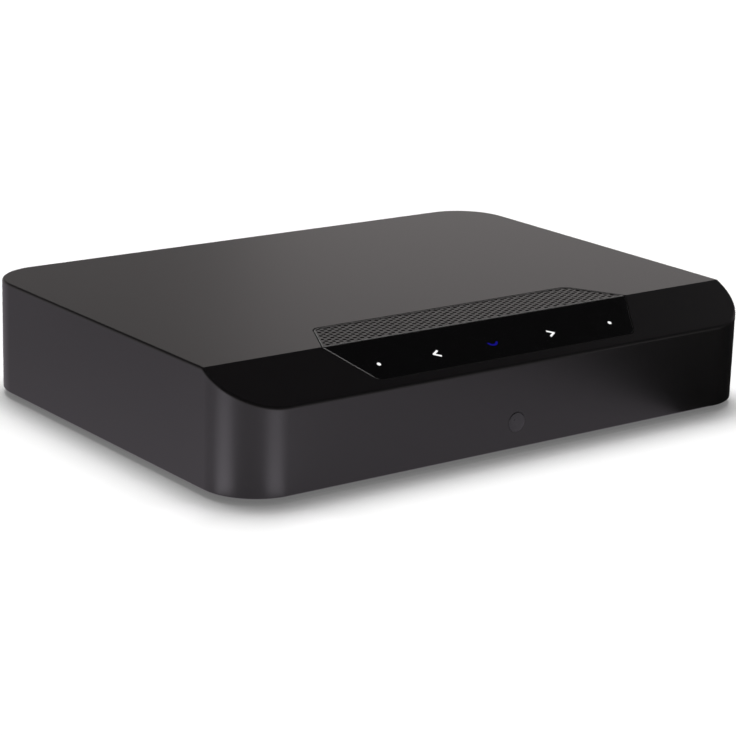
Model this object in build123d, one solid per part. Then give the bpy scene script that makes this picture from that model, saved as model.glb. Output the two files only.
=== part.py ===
from build123d import *
import math
import os

# Half-width network music streamer: a moulded casing on a recessed base, with a touch strip let into
# a slope at the front, a perforated vent behind it and a row of connectors at the rear.
# Millimetres. +X is to the right seen from the front, the front faces -Y, +Z is up.

# Casing
casing_width = 220.0
casing_depth = 160.0
casing_height = 39.0
foot_drop = 2.2
corner_radius = 19.0
wall = 2.5
edge_radius = 0.9
slope_run = 20.5
slope_drop = 10.2
overrun = 1.0
moulded_gap = 0.03

# Insert: one six-sided outline folded over the crease, perforated plate on the top, glass on the slope
insert_width = 130.0
insert_end_width = 109.0
grille_reach = 20.0
panel_reach = 18.9
insert_corner_radius = 4.0
insert_depth = 1.5
insert_gap = 0.15
insert_bevel = 0.35
insert_ledge = 2.4
vent_pitch = 4.9
vent_hole_radius = 1.75
vent_margin = 1.0
vent_sides = 4

# Touch electronics behind the slope
key_drop = 11.7
key_pitch = 24.8
key_count = 5
touch_slot_width = 106.0
touch_slot_height = 8.4
touch_board_width = 114.0
touch_board_height = 14.0
touch_board_thickness = 1.2
led_width = 3.2
led_depth = 1.6
led_height = 0.7
ribbon_width = 12.0
ribbon_thickness = 0.3
ribbon_bend = 4.0
ribbon_socket_depth = 4.0
ribbon_socket_height = 5.0
ribbon_lift = 1.2

# Infrared window and receiver
window_diameter = 7.5
window_drop = 19.7
window_proud = 0.3
window_bevel = 0.4
window_sides = 24
window_flange_side = 10.0
window_flange = 1.0
sensor_width = 5.4
sensor_depth = 2.6
sensor_height = 6.4
sensor_lens_radius = 1.8
sensor_lens_sides = 16
sensor_bulge = 1.1
sensor_gap = 0.3
ir_board_width = 22.0
ir_board_height = 17.0
ir_board_thickness = 1.2
carrier_width = 4.0
carrier_depth = 4.4
carrier_height = 6.0
carrier_grip = 1.5
slot_gap = 0.05

# Screw posts of the casing and the base plate
post_diameter = 8.0
post_sides = 8
post_inset_x = 12.0
post_inset_front = 18.0
post_inset_rear = 16.0
post_hole_depth = 9.0
base_recess = 0.6
base_thickness = 2.0
base_gap = 0.3
screw_diameter = 2.9
screw_length = 9.0
screw_sides = 8
screw_head_sides = 12
screw_head_diameter = 5.6
screw_head_height = 1.4
vent_slot_width = 2.4
vent_slot_length = 28.0
vent_slot_pitch = 8.0
vent_slot_rows = 2
vent_slot_row_pitch = 42.0
vent_slot_count = 6
vent_slots_x = -22.0
foot_diameter = 16.0
foot_sides = 24
foot_inset_x = 27.0
foot_inset_y = 22.0

# Boards
standoff_height = 6.0
standoff_diameter = 6.0
standoff_sides = 6
board_thickness = 1.6
board_inset = 5.0
board_rear_gap = 0.5
main_rear_inset = 27.0
board_edge = 1.0
main_front_inset = 40.5
board_screw_diameter = 2.4
board_screw_length = 6.0
board_screw_head_diameter = 4.6
board_screw_head_height = 1.8
sheet_thickness = 0.4
sheet_gap = 0.4

# Rear panel
cutout_bottom = 3.8
cutout_height = 30.5
cutout_radius = 3.0
rear_panel_thickness = 1.5
rear_panel_lap = 2.5
rear_panel_top_gap = 0.3
panel_clearance = 0.2
rib_thickness = 1.5
rib_height = 5.0
rib_share = 0.86
rib_gap = 0.1
connector_gap = 3.0
mains_gap = 6.0
connector_proud = 0.5

# Mains inlet
inlet_width = 24.0
inlet_depth = 20.0
inlet_height = 16.0
inlet_nose_width = 21.6
inlet_nose_height = 13.6
inlet_nose_out = 1.0
inlet_cavity_depth = 12.5
inlet_lobe_radius = 5.3
inlet_lobe_sides = 16
inlet_pin_sides = 12
inlet_waist = 7.0
inlet_pin_pitch = 8.6
inlet_pin_diameter = 2.4
inlet_pin_sink = 1.5
inlet_pin_tail = 2.0
inlet_pin_bevel = 0.5
inlet_tail_width = 1.2

# Phono sockets
rca_pitch = 13.0
rca_height = 15.0
rca_depth = 11.0
rca_reach = 8.5
rca_radius = 4.15
rca_root_radius = 4.3
rca_wall = 0.7
rca_sides = 16
rca_bore_sides = 12
rca_contact_sides = 8
rca_core_sink = 1.2
rca_contact_radius = 2.2
rca_contact_bore = 1.65
rca_contact_sink = 1.8
panel_screw_radius = 1.2
panel_screw_length = 6.0
panel_screw_head_radius = 2.2
panel_screw_head = 1.3
panel_screw_drop = 2.9

# Optical output with its sprung flap
optical_width = 10.4
optical_height = 13.4
optical_depth = 12.0
optical_wall = 0.9
optical_floor = 1.6
optical_back = 2.4
optical_mouth_height = 8.7
flap_thickness = 1.0
flap_gap = 0.3
flap_barrel_radius = 1.0
flap_sink = 1.7
pin_radius = 0.45
pin_fit = 0.04
pin_grip = 0.6
spring_slot = 2.6
spring_wire = 0.25
spring_leg = 3.0
emitter_radius = 1.6
emitter_length = 2.2
emitter_body_width = 6.0
emitter_body_depth = 3.0
emitter_body_height = 8.0

# Small jacks
jack_width = 9.0
jack_height = 9.0
jack_depth = 14.0
jack_nose_radius = 3.2
jack_nose_sides = 16
jack_bore_radius = 1.8
jack_bore_depth = 14.5

# Video and data ports
hdmi_width = 15.0
hdmi_height = 5.6
hdmi_depth = 11.0
hdmi_chamfer = 1.4
hdmi_tongue_width = 10.8
hdmi_tongue_height = 1.2
usb_width = 13.3
usb_height = 5.9
usb_depth = 14.0
usb_tongue_width = 11.1
usb_tongue_height = 1.9
usb_tongue_rise = 0.9
port_wall = 0.4
port_back = 3.0
port_tongue_sink = 1.5
ethernet_width = 16.0
ethernet_height = 13.6
ethernet_depth = 16.0
ethernet_wall = 0.6
ethernet_cavity_width = 11.8
ethernet_cavity_height = 6.9
ethernet_cavity_depth = 13.0
ethernet_cavity_rise = 3.2
ethernet_key_width = 6.2
ethernet_key_height = 1.6
ethernet_wire_count = 8
ethernet_wire_pitch = 1.02
ethernet_wire_width = 0.45
ethernet_wire_thickness = 0.35
ethernet_wire_run = 7.5
ethernet_wire_dip = 2.4

# Main board parts
processor_side = 23.0
processor_height = 1.6
processor_share = 0.43
processor_inset = 28.0
pad_inset = 1.0
pad_height = 1.0
sink_side = 46.0
sink_base = 3.0
sink_fin_height = 9.0
sink_fin_thickness = 1.4
sink_fin_count = 9
can_width = 18.0
can_depth = 25.0
can_height = 2.8
can_left_inset = 14.0
chip_height = 1.1
chip_sides = (7.0, 9.0, 12.0, 6.0, 8.0, 10.0)
chip_x_shares = (-0.22, -0.08, -0.30, 0.30, 0.16, 0.36)
chip_y_shares = (0.20, 0.16, 0.02, 0.14, 0.08, -0.12)
antenna_length = 40.0
antenna_height = 9.0
antenna_thickness = 0.8
antenna_z = 9.0
antenna_y = -40.0
can_front_inset = 18.0
lead_diameter = 1.2
lead_bend = 4.0
lead_sides = 8
lead_y_gap = 6.5

# Power board parts, in order from the rear
fuse_width = 7.0
fuse_depth = 8.5
fuse_height = 8.0
choke_width = 17.0
choke_depth = 12.0
choke_height = 18.0
capacitor_diameter = 18.0
capacitor_sides = 20
capacitor_height = 22.0
transformer_width = 26.0
transformer_depth = 21.0
transformer_height = 18.0
bobbin_flange = 2.0
core_share = 0.46
output_diameter = 9.0
output_sides = 12
output_height = 14.0
output_pitch = 11.0
row_gap = 1.5
plug_width = 11.0
plug_depth = 5.0
plug_height = 7.0
plug_inset = 14.0
harness_width = 3.9
harness_thickness = 1.3
harness_rise = 8.0
harness_bend = 4.0

# Levels and faces that the sizes above fix
casing_bottom = foot_drop
casing_top = casing_bottom + casing_height
front_y = -casing_depth / 2
rear_y = casing_depth / 2
side_x = casing_width / 2
crease_y = front_y + slope_run
inner_top = casing_top - wall
slope_length = math.hypot(slope_run, slope_drop)
plate_bottom = casing_bottom + base_recess
plate_top = plate_bottom + base_thickness
board_bottom = plate_top + standoff_height
board_top = board_bottom + board_thickness
panel_out_y = rear_y - wall
panel_in_y = panel_out_y - rear_panel_thickness
board_rear_y = panel_in_y - board_rear_gap
window_z = casing_top - slope_drop - window_drop
overhang = rca_reach - wall
post_x = side_x - post_inset_x
front_post_y = front_y + post_inset_front
rear_post_y = rear_y - post_inset_rear
board_limit_x = post_x - post_diameter / 2 - board_edge
cutout_bottom_z = casing_bottom + cutout_bottom
cutout_width = casing_width - 2 * (corner_radius + cutout_radius)

top_plane = Plane(origin=(0, crease_y, casing_top), x_dir=(1, 0, 0), z_dir=(0, 0, 1))
slope_plane = Plane(origin=(0, crease_y, casing_top), x_dir=(1, 0, 0), z_dir=(0, -slope_drop, slope_run))


def block(width, depth, height, x, y, z):
    """A box centred on x that starts at y and stands on z."""
    return Pos(x, y, z) * Box(width, depth, height, align=(Align.CENTER, Align.MIN, Align.MIN))


def rod_y(radius, length, x, y, z):
    """A round rod along Y that starts at y."""
    upright = Cylinder(radius, length, align=(Align.CENTER, Align.CENTER, Align.MIN))
    return Pos(x, y, z) * Rot(-90, 0, 0) * upright


def rod_x(radius, length, x, y, z):
    """A round rod along X, centred on x."""
    return Pos(x, y, z) * Rot(0, 90, 0) * Cylinder(radius, length)


def pillar(radius, sides, height, x, y, z):
    """An upright prism that stands on z, for posts, stand-offs and the holes that fit them."""
    return Pos(x, y, z) * extrude(RegularPolygon(radius, sides), height)


def prism_y(radius, sides, length, x, y, z):
    """A prism along Y that starts at y."""
    return Pos(x, y, z) * Rot(-90, 0, 0) * extrude(RegularPolygon(radius, sides), length)


def prism_x(radius, length, x, y, z):
    """An eight-sided prism along X, centred on x, its flats square to Y and Z."""
    turned = Rot(0, 90, 0) * Rot(0, 0, 180 / screw_sides)
    return Pos(x - length / 2, y, z) * turned * extrude(RegularPolygon(radius, screw_sides), length)


def around(radius, sides):
    """The corner radius of a prism whose flats clear a round of this radius."""
    return radius / math.cos(math.pi / sides)


def group(solids):
    """Separate solids that share one node."""
    return Compound(children=list(solids))


def row_centres():
    """Where each rear connector stands: one row, centred on the casing, its gaps all named."""
    widths = (
        ("ethernet", ethernet_width, connector_gap),
        ("usb", usb_width, connector_gap),
        ("hdmi", hdmi_width, connector_gap),
        ("trigger", jack_width, connector_gap),
        ("line", jack_width, connector_gap),
        ("optical", optical_width, connector_gap),
        ("rca", 4 * rca_pitch, mains_gap),
        ("inlet", inlet_width, 0),
    )
    edge = -sum(width + gap for _, width, gap in widths) / 2
    centres = {}
    for name, width, gap in widths:
        centres[name] = edge + width / 2
        edge += width + gap
    return centres


row = row_centres()
rca_places = [row["rca"] + (index - 1.5) * rca_pitch for index in range(4)]
rca_z = board_top + rca_height / 2
inlet_z = board_top + inlet_height / 2
jack_z = board_top + jack_height / 2
main_left = -board_limit_x
main_right = row["rca"] + 2 * rca_pitch + board_edge
power_left = row["inlet"] - inlet_width / 2 - board_edge
power_right = board_limit_x
main_width = main_right - main_left
power_width = power_right - power_left
main_x = (main_left + main_right) / 2
power_x = (power_left + power_right) / 2
main_front_y = front_y + main_front_inset
main_board_depth = board_rear_y - main_front_y


def power_row():
    """Front edge of each power part, set out from the inlet's tails forwards."""
    depths = (
        ("rear posts", standoff_diameter),
        ("fuse", fuse_depth),
        ("choke", choke_depth),
        ("capacitor", capacitor_diameter),
        ("transformer", transformer_depth),
        ("outputs", output_diameter),
        ("plug", plug_depth),
        ("front posts", standoff_diameter),
    )
    edge = panel_in_y - inlet_depth - inlet_pin_tail
    edges = {}
    for name, depth in depths:
        edge -= depth + row_gap
        edges[name] = edge
    return edges


power_y = power_row()
power_front_y = power_y["front posts"] - board_edge
power_board_depth = board_rear_y - power_front_y


# Casing and what shows from the front

def casing_body(inset):
    """The casing's outer form drawn in by inset, open below: rounded corners and the front slope."""
    outline = RectangleRounded(casing_width - 2 * inset, casing_depth - 2 * inset, corner_radius - inset)
    body = extrude(Pos(0, 0, casing_bottom) * outline, casing_height - inset)
    above = Box(casing_width, casing_depth, casing_height, align=(Align.CENTER, Align.CENTER, Align.MIN))
    return body - slope_plane.offset(-inset) * above


def rounded_casing():
    """The outer form with the rims of its top and slope eased, the crease between them too."""
    body = casing_body(0)
    upper = body.faces().filter_by(lambda face: face.normal_at().Z > 0.5)
    return fillet(upper.edges(), edge_radius)


def insert_outline(shrink):
    """The six-sided insert, unfolded flat: x across, y up the slope and on over the top."""
    half, end_half = insert_width / 2, insert_end_width / 2
    corners = [
        (half, 0),
        (end_half, grille_reach),
        (-end_half, grille_reach),
        (-half, 0),
        (-end_half, -panel_reach),
        (end_half, -panel_reach),
    ]
    outline = make_face(Polyline(*corners, close=True))
    return offset(fillet(outline.vertices(), insert_corner_radius), -shrink)


def insert_half(shrink, upper, gap):
    """The part of the insert above or below the crease, gap away from it."""
    reach = grille_reach if upper else panel_reach
    middle = (reach / 2 + gap) * (1 if upper else -1)
    return insert_outline(shrink) & Pos(0, middle, 0) * Rectangle(insert_width, reach)


def insert_pocket(shrink, depth, taper=0):
    """What the insert takes out of the casing, on both sides of the crease."""
    top = extrude(top_plane * insert_half(shrink, True, 0), -depth, taper=taper)
    slope = extrude(slope_plane * insert_half(shrink, False, 0), -depth, taper=taper)
    return top + slope


def touch_slot():
    """The opening behind the glass through which the touch board's lamps shine."""
    middle = slope_plane * Pos(0, -key_drop, -insert_depth)
    return middle * Box(touch_slot_width, touch_slot_height, 2 * wall)


def post_places():
    return [(side * post_x, y) for side in (-1, 1) for y in (front_post_y, rear_post_y)]


def screw_posts(radius, height, z):
    """Posts, or the holes in them, at the four base screws."""
    return [pillar(radius, post_sides, height, x, y, z) for x, y in post_places()]


def rear_cutout():
    outline = RectangleRounded(cutout_width, cutout_height, cutout_radius)
    middle = Pos(0, rear_y - 2 * wall, cutout_bottom_z + cutout_height / 2) * Rot(-90, 0, 0)
    return middle * extrude(outline, 3 * wall)


def top_shell():
    shell = rounded_casing() - casing_body(wall)
    posts = screw_posts(post_diameter / 2, casing_top - plate_top, plate_top)
    held = [post & casing_body(wall / 2) for post in posts]
    rib_z = inner_top - rib_height / 2
    rib = block(cutout_width * rib_share, rib_thickness, rib_height, 0, panel_in_y - rib_gap - rib_thickness, rib_z)
    shell = shell + held + (rib & casing_body(wall / 2))
    shell -= insert_pocket(0, insert_depth)
    shell -= insert_pocket(-insert_bevel, insert_bevel, taper=45)
    shell -= extrude(top_plane * insert_half(insert_ledge, True, insert_ledge), -2 * wall)
    shell -= touch_slot()
    shell -= prism_y(window_diameter / 2 + moulded_gap, window_sides, 2 * wall, 0, front_y - overrun, window_z)
    shell -= rear_cutout()
    return shell - screw_posts(screw_diameter / 2 + moulded_gap, post_hole_depth, plate_top)


def vent_places():
    """Staggered hole centres that stay a margin inside the perforated plate's outline."""
    row_pitch = vent_pitch * math.sqrt(3) / 2
    keep = vent_hole_radius + vent_margin
    taper_share = (insert_width - insert_end_width) / 2 / grille_reach
    rows = int((grille_reach - 2 * keep) / row_pitch) + 1
    first = (grille_reach - (rows - 1) * row_pitch) / 2
    places = []
    for level in range(rows):
        y = first + level * row_pitch
        room = insert_width / 2 - taper_share * y - keep
        start = vent_pitch / 2 if level % 2 else 0
        count = int((room - start) / vent_pitch)
        columns = [start + index * vent_pitch for index in range(count + 1)]
        places += [(x, y) for x in columns] + [(-x, y) for x in columns if x > 0]
    return places


def vent_grille():
    plate = insert_half(insert_gap, True, insert_gap)
    hole = RegularPolygon(vent_hole_radius, vent_sides)
    plate -= [Pos(x, y, 0) * hole for x, y in vent_places()]
    return extrude(top_plane * plate, -insert_depth)


def touch_panel():
    """The glass, flush with the slope, its upper end upright against the perforated plate."""
    glass = extrude(slope_plane * insert_half(insert_gap, False, 0), -insert_depth)
    behind = block(casing_width, slope_run, casing_height, 0, crease_y - insert_gap, casing_bottom)
    return glass - behind


def ir_window():
    """A dark round lens with a bevelled rim, held from behind by its square flange."""
    lens = prism_y(window_diameter / 2, window_sides, wall + window_proud, 0, front_y - window_proud, window_z)
    lens = chamfer(lens.edges().group_by(Axis.Y)[0], window_bevel)
    side = window_flange_side
    return lens + block(side, window_flange, side, 0, front_y + wall, window_z - side / 2)


# Base and rear panel

def carrier_places():
    return [side * (ir_board_width / 2 - carrier_grip) for side in (-1, 1)]


def ir_board_y():
    return front_y + wall + window_flange + sensor_gap + sensor_bulge + sensor_depth


def foot_places():
    return [
        (sx * (side_x - foot_inset_x), sy * (rear_y - foot_inset_y))
        for sx in (-1, 1)
        for sy in (-1, 1)
    ]


def standoff_places():
    """Four stand-offs under each board, the rear pair kept forward of the connectors."""
    main = [(x, y) for x in (main_left + board_inset, main_right - board_inset)
            for y in (main_front_y + board_inset, board_rear_y - main_rear_inset)]
    power = [(x, power_y[name] + standoff_diameter / 2)
             for x in (power_left + board_inset, power_right - board_inset)
             for name in ("front posts", "rear posts")]
    return main + power


def vent_slots():
    """Rows of slots under the main board that let cool air in."""
    slots = []
    for level in range(vent_slot_rows):
        y = (level - (vent_slot_rows - 1) / 2) * vent_slot_row_pitch - vent_slot_length / 2
        for index in range(vent_slot_count):
            x = vent_slots_x + (index - (vent_slot_count - 1) / 2) * vent_slot_pitch
            slots.append(block(vent_slot_width, vent_slot_length, 3 * base_thickness, x, y, plate_bottom - base_thickness))
    return slots


def base_plate():
    """The bottom plate with stand-offs, foot seats, air slots and the infrared board's carriers."""
    drawn_in = wall + base_gap
    outline = RectangleRounded(casing_width - 2 * drawn_in, casing_depth - 2 * drawn_in, corner_radius - drawn_in)
    plate = extrude(Pos(0, 0, plate_bottom) * outline, base_thickness)
    plate += [pillar(standoff_diameter / 2, standoff_sides, standoff_height, x, y, plate_top)
              for x, y in standoff_places()]
    rib_y = panel_in_y - rib_gap - rib_thickness
    plate += block(cutout_width * rib_share, rib_thickness, rib_height, 0, rib_y, plate_top)
    carrier_y = ir_board_y() + (ir_board_thickness - carrier_depth) / 2
    plate += [block(carrier_width, carrier_depth, carrier_height, x, carrier_y, plate_top) for x in carrier_places()]
    board_slot = ir_board_thickness + 2 * slot_gap
    plate -= block(ir_board_width + 2 * slot_gap, board_slot, carrier_height, 0, ir_board_y() - slot_gap, plate_top)
    plate -= vent_slots()
    hole = board_screw_diameter / 2 + moulded_gap
    plate -= [pillar(hole, standoff_sides, board_screw_length, x, y, board_top - board_screw_length)
              for x, y in standoff_places()]
    return plate - screw_posts(screw_diameter / 2 + moulded_gap, base_thickness, plate_bottom)


def base_screws():
    """Pan-headed screws up through the base into the casing's posts."""
    shank = pillar(screw_diameter / 2, screw_sides, screw_length, 0, 0, 0)
    head = pillar(screw_head_diameter / 2, screw_head_sides, screw_head_height, 0, 0, -screw_head_height)
    return group(Pos(x, y, plate_bottom) * (head + shank) for x, y in post_places())


def board_screws():
    """Hexagon-headed screws that hold the boards to their stand-offs."""
    shank = pillar(board_screw_diameter / 2, standoff_sides, board_screw_length, 0, 0, -board_screw_length)
    head = pillar(board_screw_head_diameter / 2, standoff_sides, board_screw_head_height, 0, 0, 0)
    return group(Pos(x, y, board_top) * (head + shank) for x, y in standoff_places())


def feet():
    return group(pillar(foot_diameter / 2, foot_sides, plate_bottom, x, y, 0) for x, y in foot_places())


def panel_screw_places():
    """Each screw stands between two phono sockets, above their axes."""
    z = board_top + rca_height - panel_screw_drop
    return [((rca_places[index] + rca_places[index + 1]) / 2, z) for index in (0, 2)]


def rear_panel():
    """The sheet behind the cut-out, with an opening for each connector's nose."""
    top = inner_top - rear_panel_top_gap
    width = cutout_width + 2 * rear_panel_lap
    sheet = block(width, rear_panel_thickness, top - plate_top, 0, panel_in_y, plate_top)
    clear = 2 * panel_clearance
    through = 3 * rear_panel_thickness
    y = panel_in_y - rear_panel_thickness
    square = (
        ("ethernet", ethernet_width, ethernet_height),
        ("usb", usb_width, usb_height),
        ("hdmi", hdmi_width, hdmi_height),
        ("optical", optical_width, optical_height),
    )
    for name, wide, tall in square:
        sheet -= block(wide + clear, through, tall + clear, row[name], y, board_top - panel_clearance)
    tall = inlet_nose_height + clear
    sheet -= block(inlet_nose_width + clear, through, tall, row["inlet"], y, inlet_z - tall / 2)
    round_hole = jack_nose_radius + panel_clearance
    sheet -= [prism_y(round_hole, jack_nose_sides, through, row[name], y, jack_z) for name in ("line", "trigger")]
    round_hole = around(rca_radius + panel_clearance, rca_sides)
    sheet -= [prism_y(round_hole, rca_sides, through, x, y, rca_z) for x in rca_places]
    return sheet - panel_screw_holes()


def panel_screw_holes():
    hole = panel_screw_radius + moulded_gap
    start = panel_out_y - panel_screw_length
    return [prism_y(hole, screw_sides, panel_screw_length, x, start, z) for x, z in panel_screw_places()]


def panel_screws():
    """Screws through the panel into the phono sockets' body."""
    shank = prism_y(panel_screw_radius, screw_sides, panel_screw_length, 0, -panel_screw_length, 0)
    head = prism_y(panel_screw_head_radius, screw_head_sides, panel_screw_head, 0, 0, 0)
    return group(Pos(x, panel_out_y, z) * (head + shank) for x, z in panel_screw_places())


# Rear connectors

def inlet_pin_places():
    return [row["inlet"] + side * inlet_pin_pitch / 2 for side in (-1, 1)]


def mains_inlet():
    """A two-pole inlet: a square-edged nose with a figure-8 well."""
    x = row["inlet"]
    body = block(inlet_width, inlet_depth, inlet_height, x, panel_in_y - inlet_depth, board_top)
    reach = rear_panel_thickness + inlet_nose_out
    body += block(inlet_nose_width, reach, inlet_nose_height, x, panel_in_y, inlet_z - inlet_nose_height / 2)
    face = panel_in_y + reach
    well = [prism_y(inlet_lobe_radius, inlet_lobe_sides, inlet_cavity_depth, px, face - inlet_cavity_depth, inlet_z)
            for px in inlet_pin_places()]
    waist_z = inlet_z - inlet_waist / 2
    well.append(block(inlet_pin_pitch, inlet_cavity_depth, inlet_waist, x, face - inlet_cavity_depth, waist_z))
    body -= well
    hole = inlet_pin_diameter / 2 + moulded_gap
    start = panel_in_y - inlet_depth
    return body - [prism_y(hole, screw_sides, inlet_depth, px, start, inlet_z) for px in inlet_pin_places()]


def mains_pins():
    """Round pins with bevelled tips on pressed-in roots, each with a tail down to the power board."""
    tip = panel_out_y + inlet_nose_out - inlet_pin_sink
    well = panel_out_y + inlet_nose_out - inlet_cavity_depth
    start = panel_in_y - inlet_depth - inlet_pin_tail
    radius = inlet_pin_diameter / 2
    pin = prism_y(radius, inlet_pin_sides, tip - well, 0, well, 0)
    pin = chamfer(pin.edges().group_by(Axis.Y)[-1], inlet_pin_bevel)
    pin += prism_y(radius, screw_sides, well - start, 0, start, 0)
    pin += block(inlet_tail_width, inlet_tail_width, inlet_z - board_top, 0, start, board_top - inlet_z)
    return group(Pos(x, 0, inlet_z) * pin for x in inlet_pin_places())


def rca_block():
    """The moulded body that carries the four phono sockets behind the panel."""
    body = block(4 * rca_pitch, rca_depth, rca_height, row["rca"], panel_in_y - rca_depth, board_top)
    return body - panel_screw_holes()


def rca_shells():
    """Plated barrels whose roots pass through the panel from the body behind it."""
    length = rear_panel_thickness + rca_reach
    barrel = rod_y(rca_radius, rca_reach, 0, panel_out_y, 0)
    barrel += prism_y(rca_root_radius, rca_sides, rear_panel_thickness, 0, panel_in_y, 0)
    barrel -= prism_y(rca_radius - rca_wall, rca_bore_sides, length, 0, panel_in_y, 0)
    return group(Pos(x, 0, rca_z) * barrel for x in rca_places)


def rca_core(index):
    """The coloured insulator inside one barrel."""
    length = rear_panel_thickness + rca_reach - rca_core_sink
    core = prism_y(rca_radius - rca_wall - moulded_gap, rca_bore_sides, length, 0, panel_in_y, 0)
    core -= prism_y(rca_contact_radius + moulded_gap, rca_contact_sides, length, 0, panel_in_y, 0)
    return Pos(rca_places[index], 0, rca_z) * core


def rca_contacts():
    """The sleeve in each insulator that takes the plug's pin."""
    length = rear_panel_thickness + rca_reach - rca_contact_sink
    sleeve = prism_y(rca_contact_radius, rca_contact_sides, length, 0, panel_in_y, 0)
    sleeve -= rod_y(rca_contact_bore, length, 0, panel_in_y, 0)
    return group(Pos(x, 0, rca_z) * sleeve for x in rca_places)


def jack(name):
    """A 3.5 mm socket: a body on the board and a round nose through the panel."""
    x = row[name]
    face = panel_out_y + connector_proud
    body = block(jack_width, jack_depth, jack_height, x, panel_in_y - jack_depth, board_top)
    reach = rear_panel_thickness + connector_proud
    nose = prism_y(jack_nose_radius, jack_nose_sides, reach, x, panel_in_y, jack_z)
    return body + nose - rod_y(jack_bore_radius, jack_bore_depth, x, face - jack_bore_depth, jack_z)


def line_jack():
    return jack("line")


def trigger_jack():
    return jack("trigger")


# Optical output: values that its pieces share
flap_y = panel_out_y + connector_proud - flap_sink
mouth_bottom_z = board_top + optical_floor
well_top_z = board_top + optical_height - optical_wall
flap_pivot_z = well_top_z - flap_gap - flap_barrel_radius
well_width = optical_width - 2 * optical_wall
well_back_y = panel_in_y - optical_depth + optical_back


def optical_socket():
    """A square well whose ceiling leaves room for the flap when a plug has pushed it up."""
    x = row["optical"]
    face = panel_out_y + connector_proud
    start = panel_in_y - optical_depth
    body = block(optical_width, face - start, optical_height, x, start, board_top)
    body -= block(well_width, face - well_back_y, well_top_z - mouth_bottom_z, x, well_back_y, mouth_bottom_z)
    pin_hole = around(pin_radius + moulded_gap, screw_sides)
    body -= prism_x(pin_hole, well_width + 2 * pin_grip, x, flap_y, flap_pivot_z)
    return body - prism_y(emitter_radius + moulded_gap, screw_sides, optical_back, x, start, emitter_z())


def emitter_z():
    return mouth_bottom_z + optical_mouth_height / 2


def optical_emitter():
    """The lamp block behind the well with its barrel through the back wall."""
    x = row["optical"]
    start = panel_in_y - optical_depth
    body_z = emitter_z() - emitter_body_height / 2
    body = block(emitter_body_width, emitter_body_depth, emitter_body_height, x, start - emitter_body_depth, body_z)
    return body + prism_y(emitter_radius, screw_sides, emitter_length, x, start, emitter_z())


def optical_shutter():
    """The flap: a plate hung from a barrel that is split for its spring."""
    x = row["optical"]
    width = well_width - 2 * flap_gap
    drop = flap_pivot_z - mouth_bottom_z - flap_gap
    plate = block(width, flap_thickness, drop, x, flap_y - flap_thickness / 2, mouth_bottom_z + flap_gap)
    plate += prism_x(flap_barrel_radius, width, x, flap_y, flap_pivot_z)
    plate -= Pos(x, flap_y, flap_pivot_z) * Box(spring_slot, 3 * flap_barrel_radius, 2 * flap_barrel_radius + flap_gap)
    return plate - rod_x(pin_radius + pin_fit, width, x, flap_y, flap_pivot_z)


def shutter_pin():
    return rod_x(pin_radius, well_width + 2 * pin_grip, row["optical"], flap_y, flap_pivot_z)


def shutter_spring():
    """A small torsion coil on the pin, one leg along the ceiling and one down the flap's back."""
    x = row["optical"]
    inner = pin_radius + pin_fit
    coil = prism_x(inner + 2 * spring_wire, spring_slot - 2 * spring_wire, x, flap_y, flap_pivot_z)
    coil -= prism_x(inner + spring_wire, spring_slot, x, flap_y, flap_pivot_z)
    side = (spring_slot - 3 * spring_wire) / 2
    top = flap_pivot_z + inner
    upper = block(spring_wire, spring_leg, spring_wire, x - side, flap_y - spring_leg, top)
    back = flap_y - flap_thickness / 2 - spring_wire
    lower = block(spring_wire, spring_wire, spring_leg, x + side, back, flap_pivot_z - spring_leg)
    return coil + upper + lower


def port_shell(name, height, depth, profile):
    """A folded metal shell open at the rear panel and closed behind by the tongue's root."""
    face = panel_out_y + connector_proud
    start = panel_in_y - depth
    place = Pos(row[name], start, board_top + height / 2) * Rot(-90, 0, 0)
    shell = extrude(profile, face - start)
    return place * (shell - extrude(offset(profile, -port_wall), face - start))


def hdmi_profile():
    """A rectangle with its two lower corners cut, drawn upside down for its place."""
    outline = Rectangle(hdmi_width, hdmi_height)
    return chamfer(outline.vertices().group_by(Axis.Y)[-1], hdmi_chamfer)


def hdmi_shell():
    return port_shell("hdmi", hdmi_height, hdmi_depth, hdmi_profile())


def usb_shell():
    return port_shell("usb", usb_height, usb_depth, Rectangle(usb_width, usb_height))


def port_tongue(name, width, height, rise, depth, shell_height, filler):
    """The insulator: a root that fills the shell's back end and a tongue that carries the contacts."""
    start = panel_in_y - depth
    z = board_top + shell_height / 2
    root = Pos(row[name], start, z) * Rot(-90, 0, 0) * extrude(offset(filler, -port_wall), port_back)
    length = panel_out_y + connector_proud - port_tongue_sink - start
    return root + block(width, length, height, row[name], start, z + rise - height / 2)


def hdmi_tongue():
    return port_tongue("hdmi", hdmi_tongue_width, hdmi_tongue_height, 0, hdmi_depth, hdmi_height, hdmi_profile())


def usb_tongue():
    shell = Rectangle(usb_width, usb_height)
    return port_tongue("usb", usb_tongue_width, usb_tongue_height, usb_tongue_rise, usb_depth, usb_height, shell)


def ethernet_shell():
    """A metal can with one open side, flush with the panel."""
    start = panel_in_y - ethernet_depth
    face = panel_out_y + connector_proud
    can = block(ethernet_width, face - start, ethernet_height, row["ethernet"], start, board_top)
    hollow_width = ethernet_width - 2 * ethernet_wall
    hollow_height = ethernet_height - 2 * ethernet_wall
    hollow_z = board_top + ethernet_wall
    return can - block(hollow_width, face - start, hollow_height, row["ethernet"], start + ethernet_wall, hollow_z)


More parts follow.
